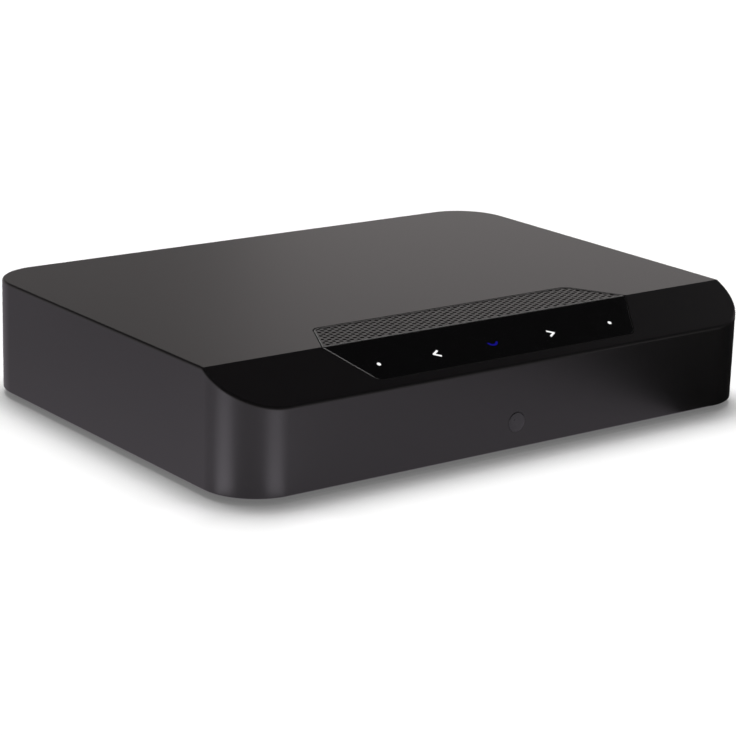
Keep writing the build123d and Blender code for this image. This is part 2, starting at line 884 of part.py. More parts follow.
def ethernet_insert():
    """The plastic block with the keyed well for the plug and its latch."""
    x = row["ethernet"]
    start = panel_in_y - ethernet_depth + ethernet_wall
    face = panel_out_y + connector_proud
    width = ethernet_width - 2 * ethernet_wall
    body = block(width, face - start, ethernet_height - 2 * ethernet_wall, x, start, board_top + ethernet_wall)
    well_y = face - ethernet_cavity_depth
    well_z = board_top + ethernet_cavity_rise
    body -= block(ethernet_cavity_width, ethernet_cavity_depth, ethernet_cavity_height, x, well_y, well_z)
    key_z = well_z - ethernet_key_height
    return body - block(ethernet_key_width, ethernet_cavity_depth, ethernet_key_height, x, well_y, key_z)


def ethernet_contacts():
    """Sprung wires that start at the well's back under its ceiling and dip towards the mouth."""
    x = row["ethernet"]
    back = panel_out_y + connector_proud - ethernet_cavity_depth
    ceiling = board_top + ethernet_cavity_rise + ethernet_cavity_height
    thick = ethernet_wire_thickness
    low = ceiling - ethernet_wire_dip
    front = back + ethernet_wire_run
    side = Polyline((back, ceiling), (front, low), (front, low - thick), (back, ceiling - 2 * thick), close=True)
    plane = Plane(origin=(0, 0, 0), x_dir=(0, 1, 0), z_dir=(1, 0, 0))
    wire = extrude(plane * make_face(side), ethernet_wire_width / 2, both=True)
    middle = (ethernet_wire_count - 1) / 2
    return group(Pos(x + (index - middle) * ethernet_wire_pitch, 0, 0) * wire for index in range(ethernet_wire_count))


# Boards and what they carry

def circuit_board(width, depth, x, front):
    board = block(width, depth, board_thickness, x, front, board_bottom)
    hole = board_screw_diameter / 2 + moulded_gap
    near = [(px, py) for px, py in standoff_places() if abs(px - x) < width / 2]
    return board - [pillar(hole, standoff_sides, board_thickness, px, py, board_bottom) for px, py in near]


def main_board():
    return circuit_board(main_width, main_board_depth, main_x, main_front_y)


def power_board():
    return circuit_board(power_width, power_board_depth, power_x, power_front_y)


processor_x = main_left + processor_share * main_width
processor_y = main_front_y + processor_inset
can_x = main_left + can_left_inset + can_width / 2
can_y = main_front_y + can_front_inset


def centred_block(side_a, side_b, height, x, y, z):
    return block(side_a, side_b, height, x, y - side_b / 2, z)


def processor():
    return centred_block(processor_side, processor_side, processor_height, processor_x, processor_y, board_top)


def thermal_pad():
    side = processor_side - 2 * pad_inset
    return centred_block(side, side, pad_height, processor_x, processor_y, board_top + processor_height)


def heat_sink():
    """A finned block on the processor, its fins along the air's way."""
    z = board_top + processor_height + pad_height
    sink = centred_block(sink_side, sink_side, sink_base, processor_x, processor_y, z)
    pitch = (sink_side - sink_fin_thickness) / (sink_fin_count - 1)
    for index in range(sink_fin_count):
        x = processor_x + (index - (sink_fin_count - 1) / 2) * pitch
        sink += centred_block(sink_fin_thickness, sink_side, sink_fin_height, x, processor_y, z + sink_base)
    return sink


def wifi_can():
    return centred_block(can_width, can_depth, can_height, can_x, can_y, board_top)


def board_chips():
    """Converters, clocks and interface circuits, placed as shares of the board's size."""
    centre_y = main_front_y + main_board_depth / 2
    places = zip(chip_sides, chip_x_shares, chip_y_shares)
    return group(
        centred_block(side, side, chip_height, main_x + sx * main_width, centre_y + sy * main_board_depth, board_top)
        for side, sx, sy in places
    )


def mains_fuse():
    return block(fuse_width, fuse_depth, fuse_height, power_x, power_y["fuse"], board_top)


def choke():
    """A common-mode choke: a core block with a winding round each leg."""
    core = block(choke_width, choke_depth * core_share, choke_height, power_x, 0, board_top)
    core = Pos(0, power_y["choke"] + choke_depth * (1 - core_share) / 2, 0) * core
    winding = choke_height - 2 * bobbin_flange
    reach = choke_width / 2 - bobbin_flange
    z = board_top + bobbin_flange
    return core + [block(reach, choke_depth, winding, power_x + side * reach / 2, power_y["choke"], z)
                   for side in (-1, 1)]


def bulk_capacitor():
    y = power_y["capacitor"] + capacitor_diameter / 2
    return pillar(capacitor_diameter / 2, capacitor_sides, capacitor_height, power_x, y, board_top)


def transformer():
    """A switching transformer: a ferrite core round a flanged, taped bobbin."""
    y = power_y["transformer"]
    core_depth = transformer_depth * core_share
    core_y = y + (transformer_depth - core_depth) / 2
    core = block(transformer_width, core_depth, transformer_height, power_x, core_y, board_top)
    width = transformer_width - 4 * bobbin_flange
    winding = block(width, transformer_depth, transformer_height - 4 * bobbin_flange, power_x, y, board_top + bobbin_flange)
    flange = block(width, transformer_depth, bobbin_flange, power_x, y, board_top)
    return core + winding + flange


def output_capacitors():
    y = power_y["outputs"] + output_diameter / 2
    places = [power_x + side * output_pitch / 2 for side in (-1, 1)]
    return group(pillar(output_diameter / 2, output_sides, output_height, x, y, board_top) for x in places)


def insulation_sheet():
    """A fibre sheet on the base under the mains board, cut clear of the stand-offs."""
    sheet = block(power_width, power_board_depth - rib_thickness - board_edge, sheet_thickness,
                  power_x, power_front_y, plate_top)
    hole = standoff_diameter / 2 + sheet_gap
    near = [(px, py) for px, py in standoff_places() if abs(px - power_x) < power_width / 2]
    return sheet - [pillar(hole, standoff_sides, sheet_thickness, px, py, plate_top) for px, py in near]


def swept(section, points, bend):
    """A section drawn along straight runs with rounded corners."""
    path = FilletPolyline(*points, radius=bend)
    start = Plane(origin=path @ 0, x_dir=(0, 1, 0), z_dir=path % 0)
    return sweep(start * section, path=path)


def power_harness():
    """A plug on each board with a flat four-way lead looped between them."""
    ends = (power_left + plug_inset, main_right - plug_inset)
    y = power_y["plug"] + plug_depth / 2
    low = board_top + plug_height
    high = low + harness_rise
    plugs = [block(plug_width, plug_depth, plug_height, x, power_y["plug"], board_top) for x in ends]
    points = [(ends[0], y, low), (ends[0], y, high), (ends[1], y, high), (ends[1], y, low)]
    return group([*plugs, swept(Rectangle(harness_width, harness_thickness), points, harness_bend)])


def antennas():
    """A thin printed aerial stuck to the inside of each side wall."""
    x = side_x - wall - antenna_thickness / 2
    return group(
        centred_block(antenna_thickness, antenna_length, antenna_height, side * x, antenna_y, antenna_z)
        for side in (-1, 1)
    )


def antenna_leads():
    """A thin coaxial lead from the wireless module to each aerial, the long one round the front."""
    inner = side_x - wall - antenna_thickness
    z = board_top + lead_diameter / 2
    section = RegularPolygon(lead_diameter / 2, lead_sides)
    front = can_y - can_depth / 2
    run_y = main_front_y - lead_y_gap
    start = can_x - can_width / 2
    left = Pos(start, can_y, z) * Rot(0, -90, 0) * extrude(section, start + inner)
    bend = FilletPolyline((can_x, front, z), (can_x, run_y, z), (inner, run_y, z), radius=lead_bend)
    right = sweep(Plane(origin=bend @ 0, z_dir=bend % 0) * section, path=bend)
    return group((left, right))


# Touch and infrared electronics

def touch_board():
    """A board flat against the slope's inner face."""
    face = slope_plane.offset(-wall)
    place = face * Pos(0, -key_drop, -touch_board_thickness / 2)
    return place * Box(touch_board_width, touch_board_height, touch_board_thickness)


def touch_leds():
    """One lamp behind each key."""
    face = slope_plane.offset(-wall)
    lamp = Box(led_width, led_depth, led_height, align=(Align.CENTER, Align.CENTER, Align.MIN))
    middle = (key_count - 1) / 2
    return group(face * Pos((index - middle) * key_pitch, -key_drop, 0) * lamp for index in range(key_count))


def touch_ribbon():
    """A flat cable from the back of the touch board to its socket on the main board."""
    root = slope_plane.offset(-wall - touch_board_thickness).from_local_coords(Vector(0, -key_drop, 0))
    level = board_top + ribbon_socket_height / 2
    end = main_front_y
    start_z = root.Z - ribbon_thickness * slope_drop / slope_run
    points = [(0, root.Y, start_z), (0, root.Y, level), (0, end, level)]
    path = FilletPolyline(*points, radius=ribbon_bend)
    start = Plane(origin=path @ 0, x_dir=(1, 0, 0), z_dir=path % 0)
    return sweep(start * Rectangle(ribbon_width, ribbon_thickness), path=path)


def ribbon_socket():
    width = ribbon_width + 2 * ribbon_lift
    return block(width, ribbon_socket_depth, ribbon_socket_height, 0, main_front_y, board_top)


def ir_board():
    return block(ir_board_width, ir_board_thickness, ir_board_height, 0, ir_board_y(), plate_top)


def ir_sensor():
    """The receiver on its board, a half-round lens towards the window."""
    y = ir_board_y() - sensor_depth
    low = window_z - sensor_height / 2
    lens_y = y + sensor_lens_radius - sensor_bulge
    body = block(sensor_width, sensor_depth, sensor_height, 0, y, low)
    return body + pillar(sensor_lens_radius, sensor_lens_sides, sensor_height, 0, lens_y, low)


makers = {
    "top_shell": top_shell,
    "vent_grille": vent_grille,
    "touch_panel": touch_panel,
    "ir_window": ir_window,
    "base_plate": base_plate,
    "rear_panel": rear_panel,
    "feet": feet,
    "base_screws": base_screws,
    "panel_screws": panel_screws,
    "board_screws": board_screws,
    "mains_inlet": mains_inlet,
    "mains_pins": mains_pins,
    "rca_block": rca_block,
    "rca_shells": rca_shells,
    "rca_coax_core": lambda: rca_core(0),
    "rca_right_core": lambda: rca_core(1),
    "rca_left_core": lambda: rca_core(2),
    "rca_sub_core": lambda: rca_core(3),
    "rca_contacts": rca_contacts,
    "line_jack": line_jack,
    "trigger_jack": trigger_jack,
    "optical_socket": optical_socket,
    "optical_emitter": optical_emitter,
    "optical_shutter": optical_shutter,
    "shutter_pin": shutter_pin,
    "shutter_spring": shutter_spring,
    "hdmi_shell": hdmi_shell,
    "hdmi_tongue": hdmi_tongue,
    "usb_shell": usb_shell,
    "usb_tongue": usb_tongue,
    "ethernet_shell": ethernet_shell,
    "ethernet_insert": ethernet_insert,
    "ethernet_contacts": ethernet_contacts,
    "main_board": main_board,
    "power_board": power_board,
    "processor": processor,
    "thermal_pad": thermal_pad,
    "heat_sink": heat_sink,
    "wifi_can": wifi_can,
    "board_chips": board_chips,
    "mains_fuse": mains_fuse,
    "choke": choke,
    "bulk_capacitor": bulk_capacitor,
    "transformer": transformer,
    "output_capacitors": output_capacitors,
    "insulation_sheet": insulation_sheet,
    "power_harness": power_harness,
    "antennas": antennas,
    "antenna_leads": antenna_leads,
    "touch_board": touch_board,
    "touch_leds": touch_leds,
    "touch_ribbon": touch_ribbon,
    "ribbon_socket": ribbon_socket,
    "ir_board": ir_board,
    "ir_sensor": ir_sensor,
}

# The phono barrels stand out behind the casing and the infrared window a little in front of it,
# so everything moves by half the difference to leave the origin under the footprint's middle.
footprint_place = Pos(0, (window_proud - overhang) / 2, 0)

os.makedirs("parts", exist_ok=True)
for node, make in makers.items():
    export_step(footprint_place * make(), f"parts/{node}.step")
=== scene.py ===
# %% [markdown]
# # A network music streamer
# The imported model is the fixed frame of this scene: every piece below sits where its solid
# does, in metres, with the front facing -Y and the sockets facing +Y. The casing, the vent and
# the other parts that show are modelled again with smoother curves and finer detail than the
# solids have, and each one stands in for its solid. The rest of the solids stay and get a finish.

# %% Load the frame
import math

import bpy
from mathutils import Matrix, Vector


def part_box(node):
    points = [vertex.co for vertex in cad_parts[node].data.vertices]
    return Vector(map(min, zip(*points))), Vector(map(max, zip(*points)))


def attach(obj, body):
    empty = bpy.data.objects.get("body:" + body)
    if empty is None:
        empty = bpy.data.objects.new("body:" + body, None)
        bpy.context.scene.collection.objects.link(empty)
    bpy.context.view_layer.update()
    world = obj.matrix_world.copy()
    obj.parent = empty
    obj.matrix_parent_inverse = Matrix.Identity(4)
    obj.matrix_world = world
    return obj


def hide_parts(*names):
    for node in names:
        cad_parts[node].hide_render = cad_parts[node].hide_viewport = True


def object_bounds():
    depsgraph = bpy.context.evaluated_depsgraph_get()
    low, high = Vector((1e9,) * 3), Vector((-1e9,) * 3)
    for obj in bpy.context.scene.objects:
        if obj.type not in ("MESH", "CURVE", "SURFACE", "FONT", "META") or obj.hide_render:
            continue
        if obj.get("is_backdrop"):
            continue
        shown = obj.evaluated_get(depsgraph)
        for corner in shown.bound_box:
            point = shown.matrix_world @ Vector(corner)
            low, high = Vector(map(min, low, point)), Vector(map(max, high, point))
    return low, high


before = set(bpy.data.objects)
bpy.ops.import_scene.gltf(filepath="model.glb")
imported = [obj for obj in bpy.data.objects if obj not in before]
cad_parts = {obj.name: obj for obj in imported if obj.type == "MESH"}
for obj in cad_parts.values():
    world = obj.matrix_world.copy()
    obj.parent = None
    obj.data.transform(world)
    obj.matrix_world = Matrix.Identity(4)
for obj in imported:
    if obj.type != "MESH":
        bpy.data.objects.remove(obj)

bpy.context.scene.view_settings.view_transform = "Standard"
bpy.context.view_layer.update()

# %% [markdown]
# Every place is read from the solids or repeated from the part's own sizes. The casing's box
# gives its middle, its front and its top, and the slope falls from the crease towards the front.
# All of it could be typed as numbers, but a place that is read can't drift from the solid.

# %% Sizes and places of the casing
casing_low, casing_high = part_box("top_shell")
casing_size = casing_high - casing_low
casing_middle = (casing_low + casing_high) / 2
wall = 0.0025
corner_radius = 0.019
edge_radius = 0.0009
slope_run = 0.0205
slope_drop = 0.0102
crease = Vector((0, casing_low.y + slope_run, casing_high.z))
slope_up = Vector((0, slope_run, slope_drop)).normalized()
slope_out = Vector((0, -slope_drop, slope_run)).normalized()
sheet_low, sheet_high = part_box("rear_panel")
plate_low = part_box("base_plate")[0]
print("casing:", [round(v, 4) for v in casing_size], "crease at y", round(crease.y, 4))

# %% [markdown]
# The photograph looks down on the front left corner from far away with a long lens, and the
# camera is rolled by less than two degrees. Its direction, distance and lens were fitted to the
# casing's edges. A camera looks along its own -Z. A tracking constraint could aim it, but would
# leave out the roll, so the matrix is built from three axes.

# %% Camera
around, above, roll = (math.radians(v) for v in (-37.38, 16.02, 1.71))
backward = Vector((math.sin(around) * math.cos(above), -math.cos(around) * math.cos(above),
                   math.sin(above)))
level = Vector((math.cos(around), math.sin(around), 0))
upward = backward.cross(level)
across = math.cos(roll) * level + math.sin(roll) * upward
upright = -math.sin(roll) * level + math.cos(roll) * upward
camera_data = bpy.data.cameras.new("camera")
camera_data.lens, camera_data.sensor_width = 117.98, 36
camera_data.clip_start, camera_data.clip_end = 0.05, 20
camera = bpy.data.objects.new("camera", camera_data)
stand = Vector((casing_middle.x, casing_middle.y, 0))
distance, aside, raised = 0.85502, -0.00038, 0.00955
place = stand + backward * distance + across * aside + upright * raised
camera.matrix_world = Matrix.Translation(place) @ Matrix((across, upright, backward)).transposed().to_4x4()
bpy.context.scene.collection.objects.link(camera)
bpy.context.scene.camera = camera
print("camera at", [round(v, 3) for v in place])

# %% [markdown]
# Modelling starts with a few habits. Operators act on whatever is selected, so everything is
# let go first. Most pieces begin as a block or a round bar that is added at its size and place.
# Its turn and scale go into the mesh at once, because a bevel on a scaled piece is uneven.

# %% Helpers for blocks and bars
ops = bpy.ops


def only(piece):
    """Let everything go, then select one piece and make it the active one."""
    if bpy.context.object and bpy.context.object.mode != "OBJECT":
        ops.object.mode_set(mode="OBJECT")
    ops.object.select_all(action="DESELECT")
    piece.select_set(True)
    bpy.context.view_layer.objects.active = piece
    return piece


def named(name):
    """Name the newest piece and its mesh."""
    piece = bpy.context.object
    piece.name = piece.data.name = name
    return piece


def settle():
    """Put the active piece's place, turn and size into its mesh."""
    ops.object.transform_apply(location=True, rotation=True, scale=True)


def box(name, low, high):
    """A block between two corners."""
    low, high = Vector(low), Vector(high)
    ops.object.select_all(action="DESELECT")
    ops.mesh.primitive_cube_add(size=1, location=(low + high) / 2)
    piece = named(name)
    piece.scale = high - low
    settle()
    return piece


def rod(name, radius, start, end, sides=48):
    """A round bar between two points."""
    start, end = Vector(start), Vector(end)
    turn = (end - start).to_track_quat("Z", "Y").to_euler()
    ops.object.select_all(action="DESELECT")
    ops.mesh.primitive_cylinder_add(vertices=sides, radius=radius, depth=(end - start).length,
                                    location=(start + end) / 2, rotation=turn)
    piece = named(name)
    settle()
    return piece


print("helpers for blocks and bars ready")

# %% [markdown]
# By hand, faces and edges are picked with the mouse. Here a test on their place or direction
# picks them, so the right ones are found again after a size has changed. What is selected in
# object mode stays selected in edit mode, so a helper marks it there and then opens the piece.

# %% Helpers for picking and easing
def edit(piece, mode):
    """Let every face, edge and point of a piece go, and set what is picked next."""
    only(piece)
    ops.object.mode_set(mode="EDIT")
    ops.mesh.select_mode(type=mode)
    ops.mesh.select_all(action="DESELECT")
    ops.object.mode_set(mode="OBJECT")


def pick_edges(piece, test):
    """Open a piece with the edges selected whose two ends pass the test."""
    edit(piece, "EDGE")
    verts = piece.data.vertices
    count = 0
    for edge in piece.data.edges:
        edge.select = bool(test(verts[edge.vertices[0]].co, verts[edge.vertices[1]].co))
        count += edge.select
    ops.object.mode_set(mode="EDIT")
    return count


def pick_faces(piece, test):
    """Open a piece with the faces selected whose middle and normal pass the test."""
    edit(piece, "FACE")
    count = 0
    for face in piece.data.polygons:
        face.select = bool(test(face.center, face.normal))
        count += face.select
    ops.object.mode_set(mode="EDIT")
    return count


def done():
    """Close edit mode."""
    ops.object.mode_set(mode="OBJECT")


def bevel(piece, test, width, segments):
    """Round off the edges that pass the test, and say how many there were."""
    count = pick_edges(piece, test)
    ops.mesh.bevel(offset=width, segments=segments, profile=0.5, affect="EDGES", clamp_overlap=False)
    done()
    return count


print("helpers for picking and easing ready")

# %% [markdown]
# A Boolean modifier cuts one piece with another or joins them, as a drill or a weld would. It
# needs closed pieces, and gives back a closed one. Every modifier is applied at once, so that the
# next step works on what is seen. Copies get meshes of their own.

# %% Helpers for joining and smoothing
def modify(piece, kind, **settings):
    """Add a modifier with its settings to the active piece and apply it."""
    modifier = piece.modifiers.new(kind, kind)
    for name, value in settings.items():
        setattr(modifier, name, value)
    ops.object.modifier_apply(modifier=modifier.name)


def carve(piece, tool, how="DIFFERENCE"):
    """Cut one piece with another, or join them, and throw the tool away."""
    only(piece)
    modify(piece, "BOOLEAN", operation=how, solver="EXACT", object=tool)
    bpy.data.objects.remove(tool)
    return piece


def merge(pieces, name):
    """Several pieces as one object."""
    only(pieces[0])
    for piece in pieces:
        piece.select_set(True)
    ops.object.join()
    return named(name)


def copy_to(piece, offset):
    """A copy with its own mesh, moved by an offset."""
    twin = piece.copy()
    twin.data = piece.data.copy()
    bpy.context.scene.collection.objects.link(twin)
    twin.data.transform(Matrix.Translation(offset))
    return twin


def smooth(piece, angle=30):
    """Shade curves as curves, and let large flat faces keep their own direction."""
    only(piece)
    ops.object.shade_smooth_by_angle(angle=math.radians(angle))
    modify(piece, "WEIGHTED_NORMAL", keep_sharp=True)
    return piece


print("helpers for joining and smoothing ready")

# %% [markdown]
# The vent and the touch strip are the two halves of one six-sided outline that is folded over
# the crease. Its points could be joined to a face one by one. Here a flat sheet is cut along one
# side after another, as with shears, which any convex outline allows. A rounded corner is a row
# of short sides.

# %% Outline of the folded insert
insert_half = 0.065
insert_end = 0.0545
vent_reach = 0.020
panel_reach = 0.0189
insert_depth = 0.0015
insert_round = 0.004
seam = 0.00015


def rounded(corners, radius, steps=7):
    """A convex outline, anticlockwise, with an arc for each corner that has a radius."""
    points = []
    for index, corner in enumerate(corners):
        r = radius[index]
        before = (corners[index - 1] - corner).normalized()
        after = (corners[(index + 1) % len(corners)] - corner).normalized()
        if r == 0:
            points.append(corner)
            continue
        half = before.angle(after) / 2
        middle = corner + (before + after).normalized() * (r / math.sin(half))
        start = corner + before * (r / math.tan(half)) - middle
        sweep = math.pi - 2 * half
        for step in range(steps + 1):
            angle = sweep * step / steps
            turned = Vector((start.x * math.cos(angle) - start.y * math.sin(angle),
                             start.x * math.sin(angle) + start.y * math.cos(angle)))
            points.append(middle + turned)
    return points


def insert_outline(upper, grow=0.0, lift=0.0):
    """Half of the insert, unfolded: x across, y away from the crease, grown outwards all round."""
    reach = vent_reach if upper else panel_reach
    slant = math.hypot(insert_half - insert_end, reach) / reach
    base = insert_half + grow * slant - lift * (insert_half - insert_end) / reach
    end = insert_end + grow * slant - grow * (insert_half - insert_end) / reach
    far = reach + grow
    corners = [Vector((base, lift)), Vector((end, far)), Vector((-end, far)), Vector((-base, lift))]
    return rounded(corners, (0, insert_round + grow, insert_round + grow, 0))


def shear_off(piece, outline, lay):
    """Cut a sheet along each side of an outline that lay() puts in place."""
    only(piece)
    ops.object.mode_set(mode="EDIT")
    points = [lay(point) for point in outline]
    face_out = lay(Vector((0, 0, 1))) - lay(Vector((0, 0, 0)))
    for index, point in enumerate(points):
        side = point - points[index - 1]
        ops.mesh.select_all(action="SELECT")
        ops.mesh.bisect(plane_co=points[index - 1], plane_no=side.cross(face_out), clear_outer=True,
                        threshold=1e-7)
    done()


def on_top(point):
    """A point of the flat outline, laid on the top behind the crease."""
    return crease + Vector(point).to_3d()


def on_slope(point):
    """The same point, laid on the slope in front of the crease."""
    point = Vector(point).to_3d()
    return crease + Vector((point.x, 0, 0)) - slope_up * point.y + slope_out * point.z


def slab(name, outline, lay, top, bottom):
    """A flat slab of an outline, from one height over its plane to another."""
    out = lay(Vector((0, 0, 1))) - lay(Vector((0, 0, 0)))
    ops.object.select_all(action="DESELECT")
    ops.mesh.primitive_plane_add(size=0.3, location=lay(Vector((0, 0, bottom))),
                                 rotation=out.to_track_quat("Z", "Y").to_euler())
    piece = named(name)
    settle()
    shear_off(piece, outline[::-1] if lay is on_slope else outline, lay)
    pick_faces(piece, lambda middle, normal: True)
    ops.mesh.extrude_region_move(TRANSFORM_OT_translate={"value": out * (top - bottom)})
    ops.mesh.select_all(action="SELECT")
    ops.mesh.normals_make_consistent(inside=False)
    done()
    return piece


print("insert outline:", len(insert_outline(True)), "points for the upper half")

# %% [markdown]
# The casing is a moulded lid: a block with upright rounded corners, planed off along the slope,
# with eased rims and a hollow below. A subdivision surface could round it, but would also swell
# its flat faces. So a cube is bevelled, cut and bevelled again. The same steps at a smaller size
# give the hollow, and the wall is even all round.

# %% Casing
def casing_form(name, inset, below):
    """The casing's block, drawn in by an inset and let out at the bottom."""
    low = Vector((casing_low.x + inset, casing_low.y + inset, casing_low.z - below))
    high = Vector((casing_high.x - inset, casing_high.y - inset, casing_high.z - inset))
    piece = box(name, low, high)
    bevel(piece, lambda a, b: abs(a.z - b.z) > 0.01, corner_radius - inset, 28)
    only(piece)
    ops.object.mode_set(mode="EDIT")
    ops.mesh.select_all(action="SELECT")
    ops.mesh.bisect(plane_co=crease - slope_out * inset, plane_no=slope_out, use_fill=True,
                    clear_outer=True)
    done()
    return piece


def near_slope(point):
    return abs((point - crease).dot(slope_out)) < 1e-5


def near_top(point):
    return abs(point.z - casing_high.z) < 1e-5


def on_crease(a, b):
    return all(near_slope(p) and near_top(p) for p in (a, b))


casing = casing_form("casing_lid", 0, 0)
rims = bevel(casing, lambda a, b: not on_crease(a, b)
             and ((near_slope(a) and near_slope(b)) or (near_top(a) and near_top(b))), edge_radius, 5)
feet_rims = bevel(casing, lambda a, b: max(a.z, b.z) < casing_low.z + 1e-5, 0.0006, 3)
carve(casing, casing_form("hollow", wall, 0.01))
print("casing:", rims, "rim edges eased,", feet_rims, "at the bottom")

# %% [markdown]
# The lid then gets its openings: the shallow seat of the insert, the well under the vent, the
# slot behind the touch marks and the window's hole. They could be inset and pushed in face by
# face. Cut with solid tools they keep straight walls, whatever faces they pass through.

# %% Openings of the top and the front
above, seat_overlap = 0.003, 0.0003
for upper, lay in ((True, on_top), (False, on_slope)):
    carve(casing, slab("seat", insert_outline(upper, lift=-seat_overlap), lay, above, -insert_depth))
well_margin, well_depth = 0.0024, 0.006
well_outline = insert_outline(True, grow=-well_margin, lift=well_margin)
carve(casing, slab("well", well_outline, on_top, above, -well_depth))
mark_drop = 0.0117
slot_half = Vector((0.053, 0.0042, 0.004))
slot = box("slot", -slot_half, slot_half)
slot_turn = slope_out.to_track_quat("Z", "Y").to_matrix().to_4x4()
slot.data.transform(Matrix.Translation(on_slope((0, mark_drop, -insert_depth))) @ slot_turn)
carve(casing, slot)
window_low, window_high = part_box("ir_window")
window_z = (window_low.z + window_high.z) / 2
window_radius, window_play = 0.0034, 0.00004
before, behind = casing_low.y - 0.002, casing_low.y + 0.006
carve(casing, rod("hole", window_radius + window_play, (0, before, window_z), (0, behind, window_z), 64))
print("window hole at z", round(window_z, 4), "and", len(casing.data.polygons), "faces so far")

# %% [markdown]
# The rear wall is open for the connector plate, and four posts inside take the screws of the
# base. The posts are joined to the lid before they are drilled, so that the bores stay clear.

# %% Rear opening and posts
opening_half = casing_size.x / 2 - corner_radius - 0.003
opening = box("opening", (-opening_half, casing_high.y - 0.005, 0.006),
              (opening_half, casing_high.y + 0.004, 0.0365))
bevel(opening, lambda a, b: abs(a.y - b.y) > 0.004, 0.003, 10)
carve(casing, opening)
post_radius, post_bore, bore_top = 0.004, 0.00148, 0.0138
post_low, post_high = plate_low.z + 0.002, casing_high.z - 0.006
post_x, post_rows = casing_size.x / 2 - 0.012, (casing_low.y + 0.018, casing_high.y - 0.016)
for x, y in [(side * post_x, y) for side in (-1, 1) for y in post_rows]:
    carve(casing, rod("post", post_radius, (x, y, post_low), (x, y, post_high), 32), "UNION")
    carve(casing, rod("bore", post_bore, (x, y, 0), (x, y, bore_top), 24))
smooth(casing, 24)
print("casing lid:", len(casing.data.polygons), "faces")

# %% [markdown]
# The touch strip is a pane of dark glass that lies flush in its seat, with a hair of a gap all
# round and a polished edge. A dark area painted on the casing would have neither. So it is a slab
# of the insert's outline, made a little smaller, with a bevelled upper rim that catches a thin
# line of light, partly real and partly a painted highlight on the part that faces left.

# %% Touch strip
strip = slab("touch_strip", insert_outline(False, grow=-seam, lift=seam), on_slope, 0, -insert_depth)
rim = bevel(strip, lambda a, b: near_slope(a) and near_slope(b), 0.0003, 3)
smooth(strip, 40)
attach(strip, "casing")
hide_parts("touch_panel")
print("touch strip:", rim, "rim edges")

# %% [markdown]
# The vent is a punched sheet with round holes in staggered columns, set a little low in a narrow
# frame. A see-through pattern would be quicker, but its holes would have no walls. So one
# six-sided cell is drawn with a round hole, repeated with Array modifiers and cut while it is
# still flat: the sheet is trimmed after it is punched, as a real one is. Then it gets thickness.

# %% Vent sheet
vent_pitch = 0.0024
vent_hole = 0.0008
vent_column = vent_pitch * math.sqrt(3) / 2
vent_sheet = 0.0008
vent_frame = 0.0007
vent_gap = 0.0004
vent_sink = 0.00012
vent_pairs = 32
vent_rows = 10


def vent_cell():
    """One six-sided cell of the sheet with a round hole in its middle."""
    ops.object.select_all(action="DESELECT")
    ops.mesh.primitive_circle_add(vertices=6, radius=vent_pitch / math.sqrt(3), fill_type="NGON",
                                  rotation=(0, 0, math.pi / 2))
    cell = named("vent_sheet")
    settle()
    pick_edges(cell, lambda a, b: True)
    ops.mesh.subdivide(number_cuts=1)
    done()
    pick_faces(cell, lambda middle, normal: True)
    ops.mesh.inset(thickness=0.0002)
    ops.transform.tosphere(value=1)
    done()
    reach = max(v.co.length for v in cell.data.vertices if v.select)
    pick_faces(cell, lambda middle, normal: middle.length < 1e-6)
    ops.transform.resize(value=(vent_hole / reach, vent_hole / reach, 1))
    ops.mesh.delete(type="FACE")
    done()
    return cell


cell = vent_cell()
shifted = copy_to(cell, (vent_column, vent_pitch / 2, 0))
cell = merge([cell, shifted], "vent_sheet")
for count, offset in ((vent_pairs, (2 * vent_column, 0, 0)), (vent_rows, (0, vent_pitch, 0))):
    modify(cell, "ARRAY", count=count, use_relative_offset=False, use_constant_offset=True,
           constant_offset_displace=offset)
first_cell = on_top((-vent_column * (vent_pairs - 0.5), -vent_pitch / 4, -vent_sink))
cell.data.transform(Matrix.Translation(first_cell))
pick_faces(cell, lambda middle, normal: True)
ops.mesh.remove_doubles(threshold=0.00001)
done()
sheet_outline = insert_outline(True, grow=-vent_gap - vent_frame, lift=seam + vent_frame)
shear_off(cell, sheet_outline, on_top)
modify(cell, "SOLIDIFY", thickness=vent_sheet, offset=-1, use_even_offset=False)
print("vent sheet:", len(cell.data.polygons), "faces")

# %% [markdown]
# The frame is a slab of the vent's outline with a smaller one cut out of it. A curve swept round
# the outline would also give a ring, but not one that ends flat on the crease. Its outer rim is
# bevelled, and the sheet's edge is held inside it.

# %% Vent frame
frame_ring = slab("vent", insert_outline(True, grow=-vent_gap, lift=seam), on_top, 0, -insert_depth)
ring_rim = bevel(frame_ring, lambda a, b: near_top(a) and near_top(b), 0.00025, 3)
carve(frame_ring, slab("inner", sheet_outline, on_top, 0.001, -0.003))
smooth(frame_ring, 40)
vent = merge([frame_ring, cell], "vent")
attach(vent, "casing")
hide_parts("vent_grille")
print("vent:", len(vent.data.polygons), "faces,", ring_rim, "rim edges")

# %% [markdown]
# The window for the remote control is a small round lens that stands a little proud of the
# front. A cap of a sphere could be its dome. Here a short rod gets a rounded rim, and its front
# face is inset a few times, a little further out each time, so rim and dome are one skin.

# %% Window
window_dome = 0.00012
window_rim, window_back = window_low.y + window_dome, window_low.y + 0.0034
window = rod("window", window_radius, (0, window_rim, window_z), (0, window_back, window_z), 72)
bevel(window, lambda a, b: max(a.y, b.y) < window_rim + 1e-6, 0.00025, 4)
pick_faces(window, lambda middle, normal: normal.y < -0.99 and middle.y < window_rim + 1e-6)
for share in (0.4, 0.27, 0.18, 0.1, 0.05):
    ops.mesh.inset(thickness=0.0006)
    ops.transform.translate(value=(0, -window_dome * share, 0))
done()
smooth(window, 40)
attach(window, "casing")
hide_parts("ir_window")
print("window stands", round((casing_low.y - window_low.y) * 1000, 2), "mm proud")

